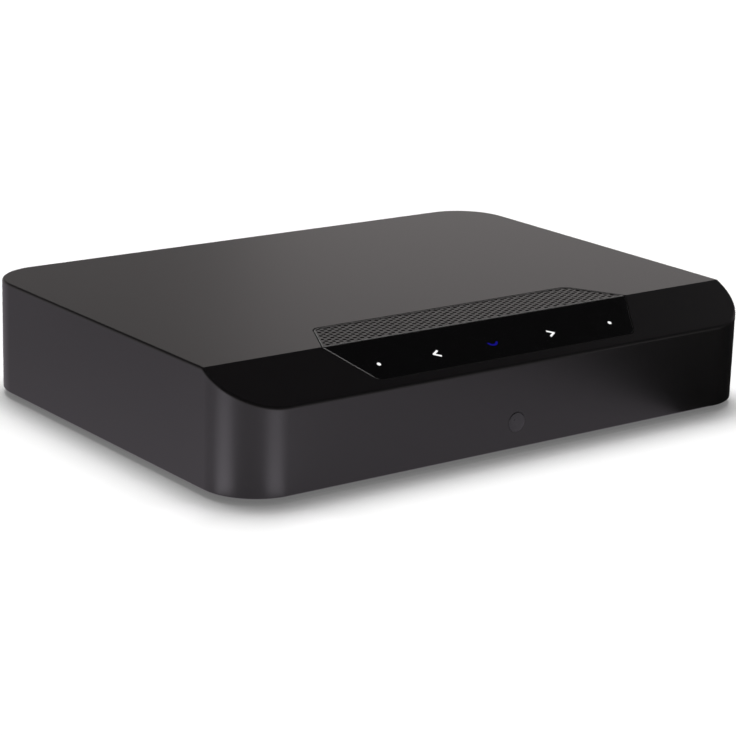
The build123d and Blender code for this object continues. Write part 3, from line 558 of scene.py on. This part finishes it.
# %% [markdown]
# Four soft rubber pads carry the weight. Each is a low disc with an eased lower rim and a
# shallow hollow in its sole. One is modelled and copied, first to the back and then both to the
# left. A Mirror modifier would do as well, but the copies are as short.

# %% Feet
foot_radius = 0.008
sole_rim, sole_step, sole_hollow = 0.0016, 0.0004, 0.0005
foot_low, foot_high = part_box("feet")
foot_x, foot_y = foot_high.x - foot_radius, (foot_low.y + foot_radius, foot_high.y - foot_radius)
foot = rod("pads", foot_radius, (foot_x, foot_y[0], 0), (foot_x, foot_y[0], foot_high.z), 64)
bevel(foot, lambda a, b: max(a.z, b.z) < 1e-6, 0.0007, 4)
pick_faces(foot, lambda middle, normal: normal.z < -0.99)
ops.mesh.inset(thickness=sole_rim)
ops.mesh.inset(thickness=sole_step)
ops.transform.translate(value=(0, 0, sole_hollow))
done()
span = (0, foot_y[1] - foot_y[0], 0)
pads = [foot, copy_to(foot, span)]
pads += [copy_to(piece, (-2 * foot_x, 0, 0)) for piece in pads]
foot = smooth(merge(pads, "pads"), 40)
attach(foot, "casing")
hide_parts("feet")
print("pads at x", round(foot_x, 4), "and y", [round(v, 4) for v in foot_y])

# %% [markdown]
# Nothing is cut from the lid any more, so it now stands in for its solid.

# %% Casing in place
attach(casing, "casing")
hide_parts("top_shell")
print("casing rides on the casing body")

# %% [markdown]
# A finish is a few nodes round one shader. What is the same all over goes straight on the
# shader's sockets. A picture of the grain could be laid on, but it has a size and a seam. A fine
# noise in object coordinates, so in metres, has neither. It varies the colour and the gloss a
# little and gives the grain its relief.

# %% Helpers for finishes
def preset(node, values):
    """Set some inputs of a node by their names."""
    for name, value in values.items():
        node.inputs[name].default_value = value
    return node


def wire(source, output, target, socket):
    """Lead one node's output into another's input."""
    source.id_data.links.new(source.outputs[output], target.inputs[socket])


def map_range(nodes, start, end, first, last):
    """A node that turns values from start to end into values from first to last."""
    return preset(nodes.new("ShaderNodeMapRange"),
                  {"From Min": start, "From Max": end, "To Min": first, "To Max": last})


def finish(name, colour, rough, grain, metal=0.0, vary=0.15, relief=0.0, gloss=0.5, spread=0.06,
           stretch=(1, 1, 1)):
    """A material with a grain of the given size in metres, and its relief in metres too."""
    material = bpy.data.materials.new(name)
    material.use_nodes = True
    nodes = material.node_tree.nodes
    shader = preset(nodes["Principled BSDF"], {"Metallic": metal, "Specular IOR Level": gloss})
    place = nodes.new("ShaderNodeTexCoord")
    turn = preset(nodes.new("ShaderNodeMapping"), {"Scale": stretch})
    noise = preset(nodes.new("ShaderNodeTexNoise"), {"Scale": 1 / grain, "Detail": 3})
    wire(place, "Object", turn, "Vector")
    wire(turn, "Vector", noise, "Vector")
    ramp = nodes.new("ShaderNodeValToRGB")
    ramp.color_ramp.elements[0].position, ramp.color_ramp.elements[1].position = 0.3, 0.7
    ramp.color_ramp.elements[0].color = (*[c * (1 - vary) for c in colour], 1)
    ramp.color_ramp.elements[1].color = (*[min(1, c * (1 + vary)) for c in colour], 1)
    wire(noise, "Fac", ramp, "Fac")
    wire(ramp, "Color", shader, "Base Color")
    level = map_range(nodes, 0.3, 0.7, max(0.02, rough - spread), min(1, rough + spread))
    wire(noise, "Fac", level, "Value")
    wire(level, "Result", shader, "Roughness")
    if relief:
        bump = preset(nodes.new("ShaderNodeBump"), {"Strength": 1, "Distance": relief})
        wire(noise, "Fac", bump, "Height")
        wire(bump, "Normal", shader, "Normal")
    return material


def dress(piece, material):
    """Give a piece one finish all over."""
    piece.data.materials.clear()
    piece.data.materials.append(material)


print("helpers for finishes ready")

# %% [markdown]
# The casing is moulded in a near-black satin plastic with a very fine spark-eroded grain. A grey
# colour could give it its tone in one view, but from elsewhere it would look chalky. So its own
# colour is dark, and most of what is seen on it is the broad reflection of a bright room. The
# vent sheet is painted much the same, the strip is polished, and the window is a dark lens. Rims
# that face left, and the vent's rim along the crease, get a lighter grey: a painted highlight.

# %% Finishes of the outside
satin = finish("casing_satin", (0.0046, 0.0041, 0.0046), 0.38, 0.0004, vary=0.1, relief=0.000006,
               spread=0.03)
vent_paint = finish("vent_paint", (0.012, 0.012, 0.012), 0.40, 0.0006, vary=0.15, relief=0.000004)
strip_gloss = finish("strip_gloss", (0.002, 0.002, 0.0022), 0.10, 0.004, vary=0.1, spread=0.02)
lens_tint = finish("lens_tint", (0.02, 0.02, 0.023), 0.28, 0.004, vary=0.03, spread=0.01)
rubber = finish("pad_rubber_grain", (0.012, 0.012, 0.012), 0.75, 0.0005, vary=0.2, relief=0.00002)
for piece, material in ((casing, satin), (vent, vent_paint), (strip, strip_gloss),
                        (window, lens_tint), (foot, rubber)):
    dress(piece, material)

# The lighter grey on rim faces that lean up and face left, and on the vent's crease rim, is a painted
# highlight where light would catch them.
rim_reach = 0.0006
vent_front = min(v.co.y for v in vent.data.vertices) + rim_reach
bright_edge = finish("bright_edge", (0.16, 0.16, 0.16), 0.35, 0.0005, vary=0.1)
for piece in (vent, strip):
    piece.data.materials.append(bright_edge)
    for face in piece.data.polygons:
        leans = face.normal.z > 0.2
        left = abs(face.center.x) > insert_end - 0.001 and face.normal.x < -0.25
        front = piece is vent and face.normal.y < -0.25 and face.center.y < vent_front
        face.material_index = int(leans and (left or front))
bright = sum(face.material_index for face in strip.data.polygons)
print("outside dressed,", bright, "bright faces on the strip")

# %% [markdown]
# The rear carries the sockets. Round pieces are turned on a lathe. Spinning an outline would do,
# but leaves doubled points on the axis. Here a disc is extruded along the axis and scaled ring by
# ring, out along the wall, over the rim and back down the bore, all in one closed skin.

# %% Helper for turned pieces
def turned(name, place, steps, sides=48, axis="Y"):
    """A round piece: each step moves the end ring along the axis and gives it a new radius."""
    ops.object.select_all(action="DESELECT")
    turn = (-math.pi / 2, 0, 0) if axis == "Y" else (0, 0, 0)
    ops.mesh.primitive_circle_add(vertices=sides, radius=steps[0], fill_type="NGON", location=place,
                                  rotation=turn)
    piece = named(name)
    settle()
    pick_faces(piece, lambda middle, normal: True)
    radius = steps[0]
    for move, wide in steps[1:]:
        along = (0, move, 0) if axis == "Y" else (0, 0, move)
        ops.mesh.extrude_region_move(TRANSFORM_OT_translate={"value": along})
        share = wide / radius
        ops.transform.resize(value=(share, 1, share) if axis == "Y" else (share, share, 1))
        radius = wide
    ops.mesh.select_all(action="SELECT")
    ops.mesh.normals_make_consistent(inside=False)
    done()
    return piece


def finished(piece, slot, *nodes, body="casing", angle=35):
    """Smooth a piece, give it its body, its slot and the solids that it stands for."""
    smooth(piece, angle)
    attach(piece, body)
    if nodes:
        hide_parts(*nodes)
    rear_pieces[piece.name] = slot
    return piece


rear_pieces = {}
panel_out = sheet_high.y
print("panel face at y", round(panel_out, 5))

# %% [markdown]
# The four phono sockets are plated barrels with a rolled rim and two turned grooves. Inside each
# sits a coloured insulator, and in its middle a slit sleeve that grips the plug's pin. One
# barrel is turned and copied along the row. The first number of a profile is its first radius,
# and the pairs after it are steps along the axis with the radius reached.

# %% Phono sockets
phono_kinds = ("coax", "right", "left", "sub")


def middle_x(node):
    """Where a solid's middle stands across the rear."""
    low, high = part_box(node)
    return (low.x + high.x) / 2


shells_low, shells_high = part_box("rca_shells")
barrel_radius = 0.00415
barrel_bore = 0.00345
phono_z = (shells_low.z + shells_high.z) / 2
phono_x = [middle_x(f"rca_{kind}_core") for kind in phono_kinds]
root_y = sheet_low.y
groove = ((0.00015, 0.00398), (0.0003, 0.00398), (0.00015, barrel_radius))
barrel = turned("phono_barrels", (phono_x[0], root_y, phono_z), (
    0.0043, (0.0015, 0.0043), (0, barrel_radius), (0.0012, barrel_radius), *groove,
    (0.0009, barrel_radius), *groove, (0.0049, barrel_radius), (0.00022, 0.00408), (0.00008, 0.0039),
    (0, 0.0036), (-0.0001, 0.0035), (-0.00025, barrel_bore), (-0.0094, barrel_bore)))
barrels = [barrel] + [copy_to(barrel, (x - phono_x[0], 0, 0)) for x in phono_x[1:]]
finished(merge(barrels, "phono_barrels"), "gold_plate", "rca_shells")
for kind, colour, x in zip(phono_kinds, ("orange", "red", "white", "black"), phono_x):
    core = turned(f"phono_{kind}_core", (x, root_y + 0.0007, phono_z), (
        0.00342, (0.0076, 0.00342), (0.0002, 0.0032), (0, 0.0029), (-0.0006, 0.00245),
        (0.0003, 0.00238), (0, 0.00222), (-0.006, 0.00222)))
    finished(core, f"core_{colour}", f"rca_{kind}_core")
sleeve = turned("phono_contacts", (phono_x[0], root_y + 0.0014, phono_z), (
    0.0022, (0.0064, 0.0022), (0.0003, 0.00205), (0.0001, 0.0019), (-0.0003, 0.00165), (-0.006, 0.00165)))
for turn in (0, 90):
    slit = box("slit", (-0.0026, -0.0022, -0.00018), (0.0026, 0.0022, 0.00018))
    slit.data.transform(Matrix.Rotation(math.radians(turn + 45), 4, "Y"))
    slit.data.transform(Matrix.Translation((phono_x[0], root_y + 0.0082, phono_z)))
    carve(sleeve, slit)
sleeves = [sleeve] + [copy_to(sleeve, (x - phono_x[0], 0, 0)) for x in phono_x[1:]]
finished(merge(sleeves, "phono_contacts"), "gold_plate", "rca_contacts")
print("phono sockets at x", [round(x * 1000, 2) for x in phono_x])

# %% [markdown]
# The two small jacks are moulded blocks with a round nose through the panel and a smooth bore.
# The nose could be extruded from the block's face, but that face is square, so it is turned and
# joined on.

# %% Small jacks
jack_bore, jack_depth = 0.00175, 0.0145
for name in ("line_jack", "trigger_jack"):
    low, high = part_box(name)
    x, z = middle_x(name), (low.z + high.z) / 2
    body = box(name + "_body", low, (high.x, root_y, high.z))
    bevel(body, lambda a, b: True, 0.0003, 2)
    nose = turned("nose", (x, root_y - 0.001, z), (
        0.0032, (0.0028, 0.0032), (0.0002, 0.00305), (0, 0.0023), (-0.0004, 0.0019), (-0.0003, 0.0018),
        (-0.0012, 0.0018)))
    carve(body, nose, "UNION")
    carve(body, rod("bore", jack_bore, (x, high.y - jack_depth, z), (x, root_y + 0.0005, z), 48))
    finished(body, "socket_plastic", name)
print("jacks:", len(body.data.polygons), "faces each")

# %% [markdown]
# The mains inlet has a figure-of-eight well: two overlapping round lobes and the flat between
# them are cut out of its nose. One outline of that shape could be pushed in, but the three cuts
# are plain drills and a mill. Its pins are round with rounded ends and flat tails.

# %% Mains inlet
low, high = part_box("mains_inlet")
inlet_x, inlet_z = middle_x("mains_inlet"), (low.z + high.z) / 2
nose_half_x, nose_half_z = 0.0108, 0.0068
pin_half, pin_radius = 0.0043, 0.0012
lobe_radius, waist_half = 0.0053, 0.0035
inlet = box("inlet", low, (high.x, root_y, high.z))
nose = box("nose", (inlet_x - nose_half_x, root_y - 0.001, inlet_z - nose_half_z),
           (inlet_x + nose_half_x, high.y, inlet_z + nose_half_z))
bevel(nose, lambda a, b: min(a.y, b.y) > high.y - 1e-5, 0.0003, 3)
carve(inlet, nose, "UNION")
well_y, outside_y = high.y - 0.0125, high.y + 0.001
for side in (-1, 1):
    x = inlet_x + side * pin_half
    carve(inlet, rod("lobe", lobe_radius, (x, well_y, inlet_z), (x, outside_y, inlet_z), 64))
carve(inlet, box("waist", (inlet_x - pin_half, well_y, inlet_z - waist_half),
                 (inlet_x + pin_half, outside_y, inlet_z + waist_half)))
finished(inlet, "inlet_plastic", "mains_inlet")
pins = []
tip = high.y - 0.0015
tail_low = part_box("mains_pins")[0]
tail_half, tail_thick = 0.0006, 0.0012
for side in (-1, 1):
    x = inlet_x + side * pin_half
    pin = rod("pin", pin_radius, (x, low.y - 0.002, inlet_z), (x, tip, inlet_z), 32)
    bevel(pin, lambda a, b: min(a.y, b.y) > tip - 1e-6, 0.0006, 4)
    tail = box("tail", (x - tail_half, tail_low.y, tail_low.z),
               (x + tail_half, tail_low.y + tail_thick, inlet_z))
    pins.append(carve(pin, tail, "UNION"))
finished(merge(pins, "inlet_pins"), "pin_metal", "mains_pins")
print("inlet at x", round(inlet_x, 4))

# %% [markdown]
# Screw heads are low domes with a cross recess. The two in the panel hold the phono block, and
# the four under the base hold the casing. A recess could be pushed into the top face, but that
# is a small disc, so two crossed bars are cut out of the whole dome. Threads are out of sight.

# %% Screws
def screw(name, place, head, tall, shank, long, axis):
    """A domed head that starts at its place, with its shank behind it."""
    back = -1 if axis == "Y" else 1
    dome = ((0, head), (-back * tall * 0.45, head), (-back * tall * 0.35, head * 0.86),
            (-back * tall * 0.2, head * 0.55))
    piece = turned(name, place, (shank, *dome), 40, axis)
    reach = Vector((head * 0.52, head * 0.13, tall * 0.55))
    for turn in (0, 90):
        bar = box("bar", -reach, reach)
        bar.data.transform(Matrix.Rotation(math.radians(turn), 4, "Z"))
        if axis == "Y":
            bar.data.transform(Matrix.Rotation(math.pi / 2, 4, "X"))
        away = Vector((0, tall, 0)) if axis == "Y" else Vector((0, 0, -tall))
        bar.data.transform(Matrix.Translation(Vector(place) + away))
        carve(piece, bar)
    inward = Vector((0, -long, 0)) if axis == "Y" else Vector((0, 0, long))
    start, end = Vector(place) - inward * 0.01, Vector(place) + inward
    return carve(piece, rod("shank", shank, start, end, 24), "UNION")


low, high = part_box("panel_screws")
head = 0.0022
x, z = (low.x + head, high.x - head), (low.z + high.z) / 2
first = screw("panel_heads", (x[0], panel_out, z), head, high.y - panel_out, 0.0012,
              panel_out - low.y, "Y")
heads = [first, copy_to(first, (x[1] - x[0], 0, 0))]
finished(merge(heads, "panel_heads"), "screw_steel", "panel_screws")
low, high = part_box("base_screws")
head = 0.0028
x, y = (low.x + head, high.x - head), (low.y + head, high.y - head)
first = screw("base_heads", (x[0], y[0], plate_low.z), head, 0.0014, 0.00145, high.z - plate_low.z, "Z")
heads = [first, copy_to(first, (x[1] - x[0], 0, 0))]
heads += [copy_to(piece, (0, y[1] - y[0], 0)) for piece in heads]
finished(merge(heads, "base_heads"), "screw_steel", "base_screws")
print("screw heads at x", [round(v, 4) for v in x], "y", [round(v, 4) for v in y])

# %% [markdown]
# Moulded and pressed pieces have no knife edges. They could be modelled again, but where a
# solid's shape is already right, a copy of its mesh is merged into clean faces and its edges are
# eased by a tenth of a millimetre or two. That lets them catch the light.

# %% Eased copies of the solids
def eased(node, slot, width, body="casing", segments=2):
    """A copy of a solid with its edges rounded off."""
    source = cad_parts[node]
    piece = source.copy()
    piece.data = source.data.copy()
    piece.parent = None
    piece.matrix_world = Matrix.Identity(4)
    bpy.context.scene.collection.objects.link(piece)
    only(piece)
    named("eased_" + node)
    pick_faces(piece, lambda middle, normal: True)
    ops.mesh.remove_doubles(threshold=0.000002)
    ops.mesh.dissolve_limited(angle_limit=math.radians(1))
    done()
    modify(piece, "BEVEL", width=width, segments=segments, limit_method="ANGLE",
           angle_limit=math.radians(40))
    return finished(piece, slot, node, body=body)


for slot, width, *solids in (("base_plastic", 0.0002, "base_plate"), ("panel_metal", 0.0001, "rear_panel"),
                             ("port_steel", 0.00012, "ethernet_shell"),
                             ("port_steel", 0.0001, "hdmi_shell", "usb_shell"),
                             ("tongue_plastic", 0.00008, "ethernet_insert", "hdmi_tongue", "usb_tongue"),
                             ("socket_plastic", 0.00012, "optical_socket")):
    for node in solids:
        eased(node, slot, width)
eased("optical_shutter", "shutter_plastic", 0.00008, body="shutter")
print("eased copies:", sum(name.startswith("eased_") for name in rear_pieces))

# %% [markdown]
# Five touch marks shine through the glass: a small blue arc in the middle, a chevron on either
# side of it and a dot at each end. A mask in the strip's finish could show them, but its edges
# would blur. So each is a thin raised shape, drawn flat at the origin with the slope's own axes
# and then laid on the strip.

# %% Touch marks
mark_places = (-0.05, -0.0268, -0.003, 0.0222, 0.0484)
mark_rise = 0.00003
slope_axes = Matrix(((1, 0, 0), slope_up, slope_out)).transposed().to_4x4()


def lay_mark(piece, x):
    """Move a mark from the origin to its place across the strip."""
    piece.data.transform(Matrix.Translation(on_slope((x, mark_drop, 0))) @ slope_axes)
    return piece


def chevron(x, side):
    """Two bars joined to an arrow head that points left or right."""
    arms = []
    for lean in (-1, 1):
        arm = box("chevron", (-0.0015, -0.00036, 0), (0.0015, 0.00036, mark_rise))
        arm.rotation_euler.z = lean * math.radians(30)
        arm.location.y = lean * side * 0.00062
        only(arm)
        settle()
        arms.append(arm)
    return lay_mark(carve(arms[0], arms[1], "UNION"), x)


def dot(x):
    """A small round mark."""
    return lay_mark(rod("dot", 0.0007, (0, 0, 0), (0, 0, mark_rise), 32), x)


arc_radius, arc_hollow, arc_top = 0.0023, 0.0015, 0.0013
arc = rod("arc", arc_radius, (0, 0, 0), (0, 0, mark_rise), 64)
carve(arc, rod("hollow", arc_hollow, (0, 0, -mark_rise), (0, 0, 2 * mark_rise), 64))
carve(arc, box("upper", (-0.003, -0.0006, -mark_rise), (0.003, 0.003, 2 * mark_rise)))
arc.data.transform(Matrix.Translation((0, arc_top, 0)))
lay_mark(arc, mark_places[2])
white = merge([chevron(mark_places[1], 1), chevron(mark_places[3], -1),
               dot(mark_places[0]), dot(mark_places[4])], "white_marks")
print("marks at x", mark_places)

# %% [markdown]
# Lit marks get a dark finish with light of their own, so that they keep their colour whatever
# falls on them. A lamp behind real glass would do it too, but needs the glass to let light by.

# %% Light of the touch marks
def glow(name, colour, strength):
    """A near-black finish that gives light of its own."""
    material = finish(name, (0.002, 0.002, 0.002), 0.3, 0.001, gloss=0.1)
    preset(material.node_tree.nodes["Principled BSDF"],
           {"Emission Color": (*colour, 1), "Emission Strength": strength})
    return material


for piece, material in ((white, glow("white_glow", (1, 1, 1), 1)),
                        (arc, glow("blue_glow", (0.02, 0.015, 1), 0.2))):
    dress(piece, material)
    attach(piece, "casing")
print("lit marks:", white.name, "and", arc.name)

# %% [markdown]
# Every solid that stays gets a finish of its own kind as well: plated barrels and contacts,
# bright pressed port shells, moulded sockets, glass-fibre boards, sleeves and films. Each could
# be built node by node, but a table is easier to compare and to change. It names them by the
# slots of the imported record, with colour, roughness, grain in metres and the rest.

# %% Finishes of the other pieces
finishes = {
    "base_plastic": ((0.011, 0.011, 0.012), 0.5, 0.0005, dict(relief=0.00001)),
    "panel_metal": ((0.013, 0.013, 0.014), 0.45, 0.0006, dict(relief=0.000008)),
    "screw_steel": ((0.05, 0.05, 0.052), 0.35, 0.0004, dict(metal=1, vary=0.3)),
    "inlet_plastic": ((0.012, 0.012, 0.012), 0.42, 0.001, {}),
    "pin_metal": ((0.72, 0.7, 0.66), 0.22, 0.002, dict(metal=1, stretch=(1, 0.1, 1))),
    "socket_plastic": ((0.014, 0.014, 0.014), 0.4, 0.001, {}),
    "gold_plate": ((0.9, 0.63, 0.25), 0.18, 0.001, dict(metal=1, vary=0.06, spread=0.05)),
    "core_orange": ((0.75, 0.22, 0.02), 0.42, 0.001, dict(vary=0.05)),
    "core_red": ((0.5, 0.02, 0.02), 0.42, 0.001, dict(vary=0.05)),
    "core_white": ((0.8, 0.79, 0.75), 0.42, 0.001, dict(vary=0.03)),
    "core_black": ((0.015, 0.015, 0.015), 0.42, 0.001, {}),
    "emitter_plastic": ((0.12, 0.02, 0.02), 0.3, 0.002, {}),
    "shutter_plastic": ((0.02, 0.02, 0.02), 0.45, 0.0006, dict(relief=0.000006)),
    "spring_steel": ((0.55, 0.55, 0.56), 0.25, 0.001, dict(metal=1)),
    "port_steel": ((0.62, 0.61, 0.59), 0.3, 0.002, dict(metal=1, vary=0.08, stretch=(1, 0.15, 1))),
    "tongue_plastic": ((0.016, 0.016, 0.016), 0.45, 0.001, {}),
    "circuit_board": ((0.012, 0.07, 0.03), 0.45, 0.003, dict(vary=0.3)),
    "chip_epoxy": ((0.02, 0.02, 0.021), 0.6, 0.0006, dict(relief=0.00001)),
    "pad_rubber": ((0.35, 0.38, 0.42), 0.8, 0.0008, dict(relief=0.00001)),
    "sink_metal": ((0.5, 0.5, 0.52), 0.38, 0.001, dict(metal=1, stretch=(1, 0.1, 1))),
    "fuse_plastic": ((0.02, 0.02, 0.02), 0.4, 0.001, {}),
    "wound_core": ((0.3, 0.12, 0.03), 0.5, 0.001, dict(stretch=(0.2, 1, 3), relief=0.00003)),
    "capacitor_sleeve": ((0.02, 0.025, 0.06), 0.35, 0.002, {}),
    "sheet_fibre": ((0.42, 0.38, 0.3), 0.8, 0.0008, dict(vary=0.2, relief=0.00001)),
    "wire_sleeve": ((0.02, 0.02, 0.02), 0.5, 0.001, {}),
    "aerial_film": ((0.35, 0.2, 0.06), 0.4, 0.001, {}),
    "lamp_body": ((0.7, 0.7, 0.66), 0.4, 0.001, {}),
    "ribbon_film": ((0.5, 0.25, 0.05), 0.35, 0.002, {}),
}
made = {"casing_plastic": satin, "vent_metal": vent_paint, "touch_glass": strip_gloss,
        "window_lens": lens_tint, "foot_rubber": rubber}
for slot, (colour, rough, grain, more) in finishes.items():
    made[slot] = finish(slot, colour, rough, grain, **more)
dressed = 0
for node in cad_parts.values():
    for holder in node.material_slots:
        slot = holder.material.name.split(".")[0] if holder.material else ""
        if slot in made:
            holder.material = made[slot]
            dressed += 1
for name, slot in rear_pieces.items():
    dress(bpy.data.objects[name], made[slot])
print("finishes:", len(made), "slots dressed on the solids:", dressed)

# %% [markdown]
# A pale floor stands for the table. The camera sees its diffuse white with the object's shadow,
# and a little white of its own on top, so that it ends as white as the room. A brighter lamp
# would do that too, but would wash the object out. Both whites are darkened within a centimetre
# of the casing by an occlusion node: a painted shade on top of the lamp's real shadow.

# %% Floor
painted_shade_reach = 0.012
ops.object.select_all(action="DESELECT")
ops.mesh.primitive_plane_add(size=12, location=(0, 0, 0))
floor = named("floor")
settle()
floor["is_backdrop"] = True
paper = finish("paper", (0.8, 0.8, 0.8), 0.9, 0.02, vary=0.003, gloss=0.1)
nodes = paper.node_tree.nodes
ray = nodes.new("ShaderNodeLightPath")
shader = preset(nodes["Principled BSDF"], {"Emission Color": (1, 1, 1, 1)})
# An occlusion node darkens the floor's colour and its own white near the casing: painted shade.
painted_contact_shade = preset(nodes.new("ShaderNodeAmbientOcclusion"), {"Distance": painted_shade_reach})
wire(nodes["Color Ramp"], "Color", painted_contact_shade, "Color")
wire(painted_contact_shade, "Color", shader, "Base Color")
own_white = map_range(nodes, 0, 1, 0.14, 0.26)
wire(painted_contact_shade, "AO", own_white, "Value")
seen = nodes.new("ShaderNodeMath")
seen.operation = "MULTIPLY"
wire(own_white, "Result", seen, 0)
wire(ray, "Is Camera Ray", seen, 1)
wire(seen, "Value", shader, "Emission Strength")
dress(floor, paper)
print("floor", round(floor.dimensions.x, 1), "m wide")

# %% [markdown]
# What mirrors the table sees an even pale tone without the shadow, lighter in front and darker
# at the back. A real table with real lamps could give the same, but would change with each of
# them. Light Path tells a mirrored ray from one that the camera sends.

# %% Floor in the reflections
mirrored = preset(nodes.new("ShaderNodeEmission"), {"Color": (0.985, 0.9, 1, 1)})
spot = nodes.new("ShaderNodeTexCoord")
parts = nodes.new("ShaderNodeSeparateXYZ")
slide = map_range(nodes, -0.16, 0.12, 0.8, 0.53)
wire(spot, "Object", parts, "Vector")
wire(parts, "Y", slide, "Value")
wire(slide, "Result", mirrored, "Strength")
either = nodes.new("ShaderNodeMixShader")
wire(ray, "Is Glossy Ray", either, "Fac")
wire(shader, "BSDF", either, 1)
wire(mirrored, "Emission", either, 2)
wire(either, "Shader", nodes["Material Output"], "Surface")
print("floor finish:", len(nodes), "nodes")

# %% [markdown]
# The room is a pale band round the horizon that darkens overhead, as a studio with white walls
# and a dark ceiling does. Walls could be built of planes, but a world that fades with height has
# no corners to show in a gloss. The camera sees plain white behind everything.

# %% Room
world = bpy.data.worlds.new("room")
world.use_nodes = True
bpy.context.scene.world = world
nodes = world.node_tree.nodes
place = nodes.new("ShaderNodeTexCoord")
split = nodes.new("ShaderNodeSeparateXYZ")
fade = map_range(nodes, 0.05, 0.5, 0.72, 0.018)
fade.interpolation_type = "SMOOTHSTEP"
path = nodes.new("ShaderNodeLightPath")
walls = preset(nodes.new("ShaderNodeMix"), {"B": 1})
wire(place, "Generated", split, "Vector")
wire(split, "Z", fade, "Value")
wire(fade, "Result", walls, "A")
wire(path, "Is Camera Ray", walls, "Factor")
wire(walls, "Result", nodes["Background"], "Strength")
tint = nodes.new("ShaderNodeMix")
tint.data_type = "RGBA"
preset(tint, {"A": (1, 0.945, 0.935, 1), "B": (1, 1, 1, 1)})
wire(path, "Is Camera Ray", tint, "Factor")
wire(tint, "Result", nodes["Background"], "Color")
print("room finish:", len(nodes), "nodes")

# %% [markdown]
# Dark cards lie and stand at the front right and take the light off that end of the front. A
# faint pale card overhead at the right shows in the right end of the slope. A photographer uses
# such cards as well. These ones are left out of everything but reflections, so they throw no
# shadow and light nothing else.

# %% Cards
def reflected_only(piece, colour, radiance):
    """Make a studio card that nothing but a reflection sees, with light of its own or none."""
    paint = bpy.data.materials.new(piece.name)
    paint.use_nodes = True
    preset(paint.node_tree.nodes["Principled BSDF"],
           {"Base Color": (0, 0, 0, 1), "Specular IOR Level": 0,
            "Emission Color": (*colour, 1), "Emission Strength": radiance})
    dress(piece, paint)
    piece.visible_camera = piece.visible_diffuse = piece.visible_shadow = piece.visible_transmission = False
    piece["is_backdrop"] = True
    return piece


card_edge = casing_low.y - 0.002
dark_card = merge([box("lying", (0.079, -0.5, 0.0002), (0.4, card_edge, 0.0004)),
                   box("beside", (0.092, card_edge, 0.0002), (0.32, 0.12, 0.0004)),
                   box("standing", (0.32, -0.3, 0.0002), (0.322, -0.06, 0.1))], "dark_card")
reflected_only(dark_card, (1, 1, 1), 0.022)
pale_card = reflected_only(box("pale_card", (0.46, -0.2, 0.43), (0.86, 0.2, 0.432)), (1, 1, 1), 0.13)
print("cards:", dark_card.name, "and", pale_card.name)

# %% [markdown]
# A broad soft lamp high over the back right lays the shadow under the front and the left side,
# and gives no highlight of its own. A large soft panel far behind at the right is what the top
# mirrors. One big panel could do both, but then the shadow and the gloss could not be set apart.

# %% Lamps
def lamp(name, kind, place, aim, power):
    """A lamp at a place, turned towards a point."""
    light = bpy.data.lights.new(name, kind)
    light.energy = power
    piece = bpy.data.objects.new(name, light)
    bpy.context.scene.collection.objects.link(piece)
    place, aim = Vector(place), Vector(aim)
    turn = (aim - place).to_track_quat("-Z", "Y")
    piece.matrix_world = Matrix.Translation(place) @ turn.to_matrix().to_4x4()
    return piece


key = lamp("key", "SUN", (0.16, 0.35, 1), (0, 0, 0), 3.15)
key.data.angle = math.radians(40)
key.visible_glossy = False
back_panel = lamp("back_panel", "AREA", (0.85, 0.65, 0.26), (0, 0, 0.1), 0.46)
back_panel.data.shape, back_panel.data.size, back_panel.data.size_y = "RECTANGLE", 0.8, 0.42
back_panel.data.color = (1, 0.945, 0.935)
print("lamps:", key.data.energy, back_panel.data.energy)

# %% [markdown]
# Two wedge-shaped light panels lie on the table by the front left corner, and show as the two
# upright streaks on its curve. Streaks painted on the corner would stay put when the view turns.
# The corner mirrors the table like a convex mirror, so each wedge widens away from it.

# %% Streaks on the corner
def wedge(name, tip, toward, near, far, radiance):
    """A flat panel on the table that widens from near to far, away from a point."""
    near_half, widening = 0.005, 8
    piece = box(name, (near, -near_half, 0.0007), (far, near_half, 0.0009))
    pick_faces(piece, lambda middle, normal: normal.x > 0.9)
    ops.transform.resize(value=(1, widening, 1))
    done()
    piece.rotation_euler.z = math.atan2(toward[1], toward[0])
    piece.location = (*tip, 0)
    only(piece)
    settle()
    return reflected_only(piece, (0.97, 0.91, 1), radiance)


streak_near, streak_far = 0.008, 0.15
wedge("left_streak", (-0.107, -0.0735), (-0.997, 0.08), streak_near, streak_far, 2.6)
wedge("front_streak", (-0.0957, -0.0822), (0.08, -0.997), streak_near, streak_far, 2.4)
print("streak panels from", streak_near, "to", streak_far, "m off the corner")

# %% [markdown]
# The last step prints the box round everything that is seen.

# %% Finish
low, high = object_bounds()
print("visual box:", [round(v, 4) for v in (*low, *high)])
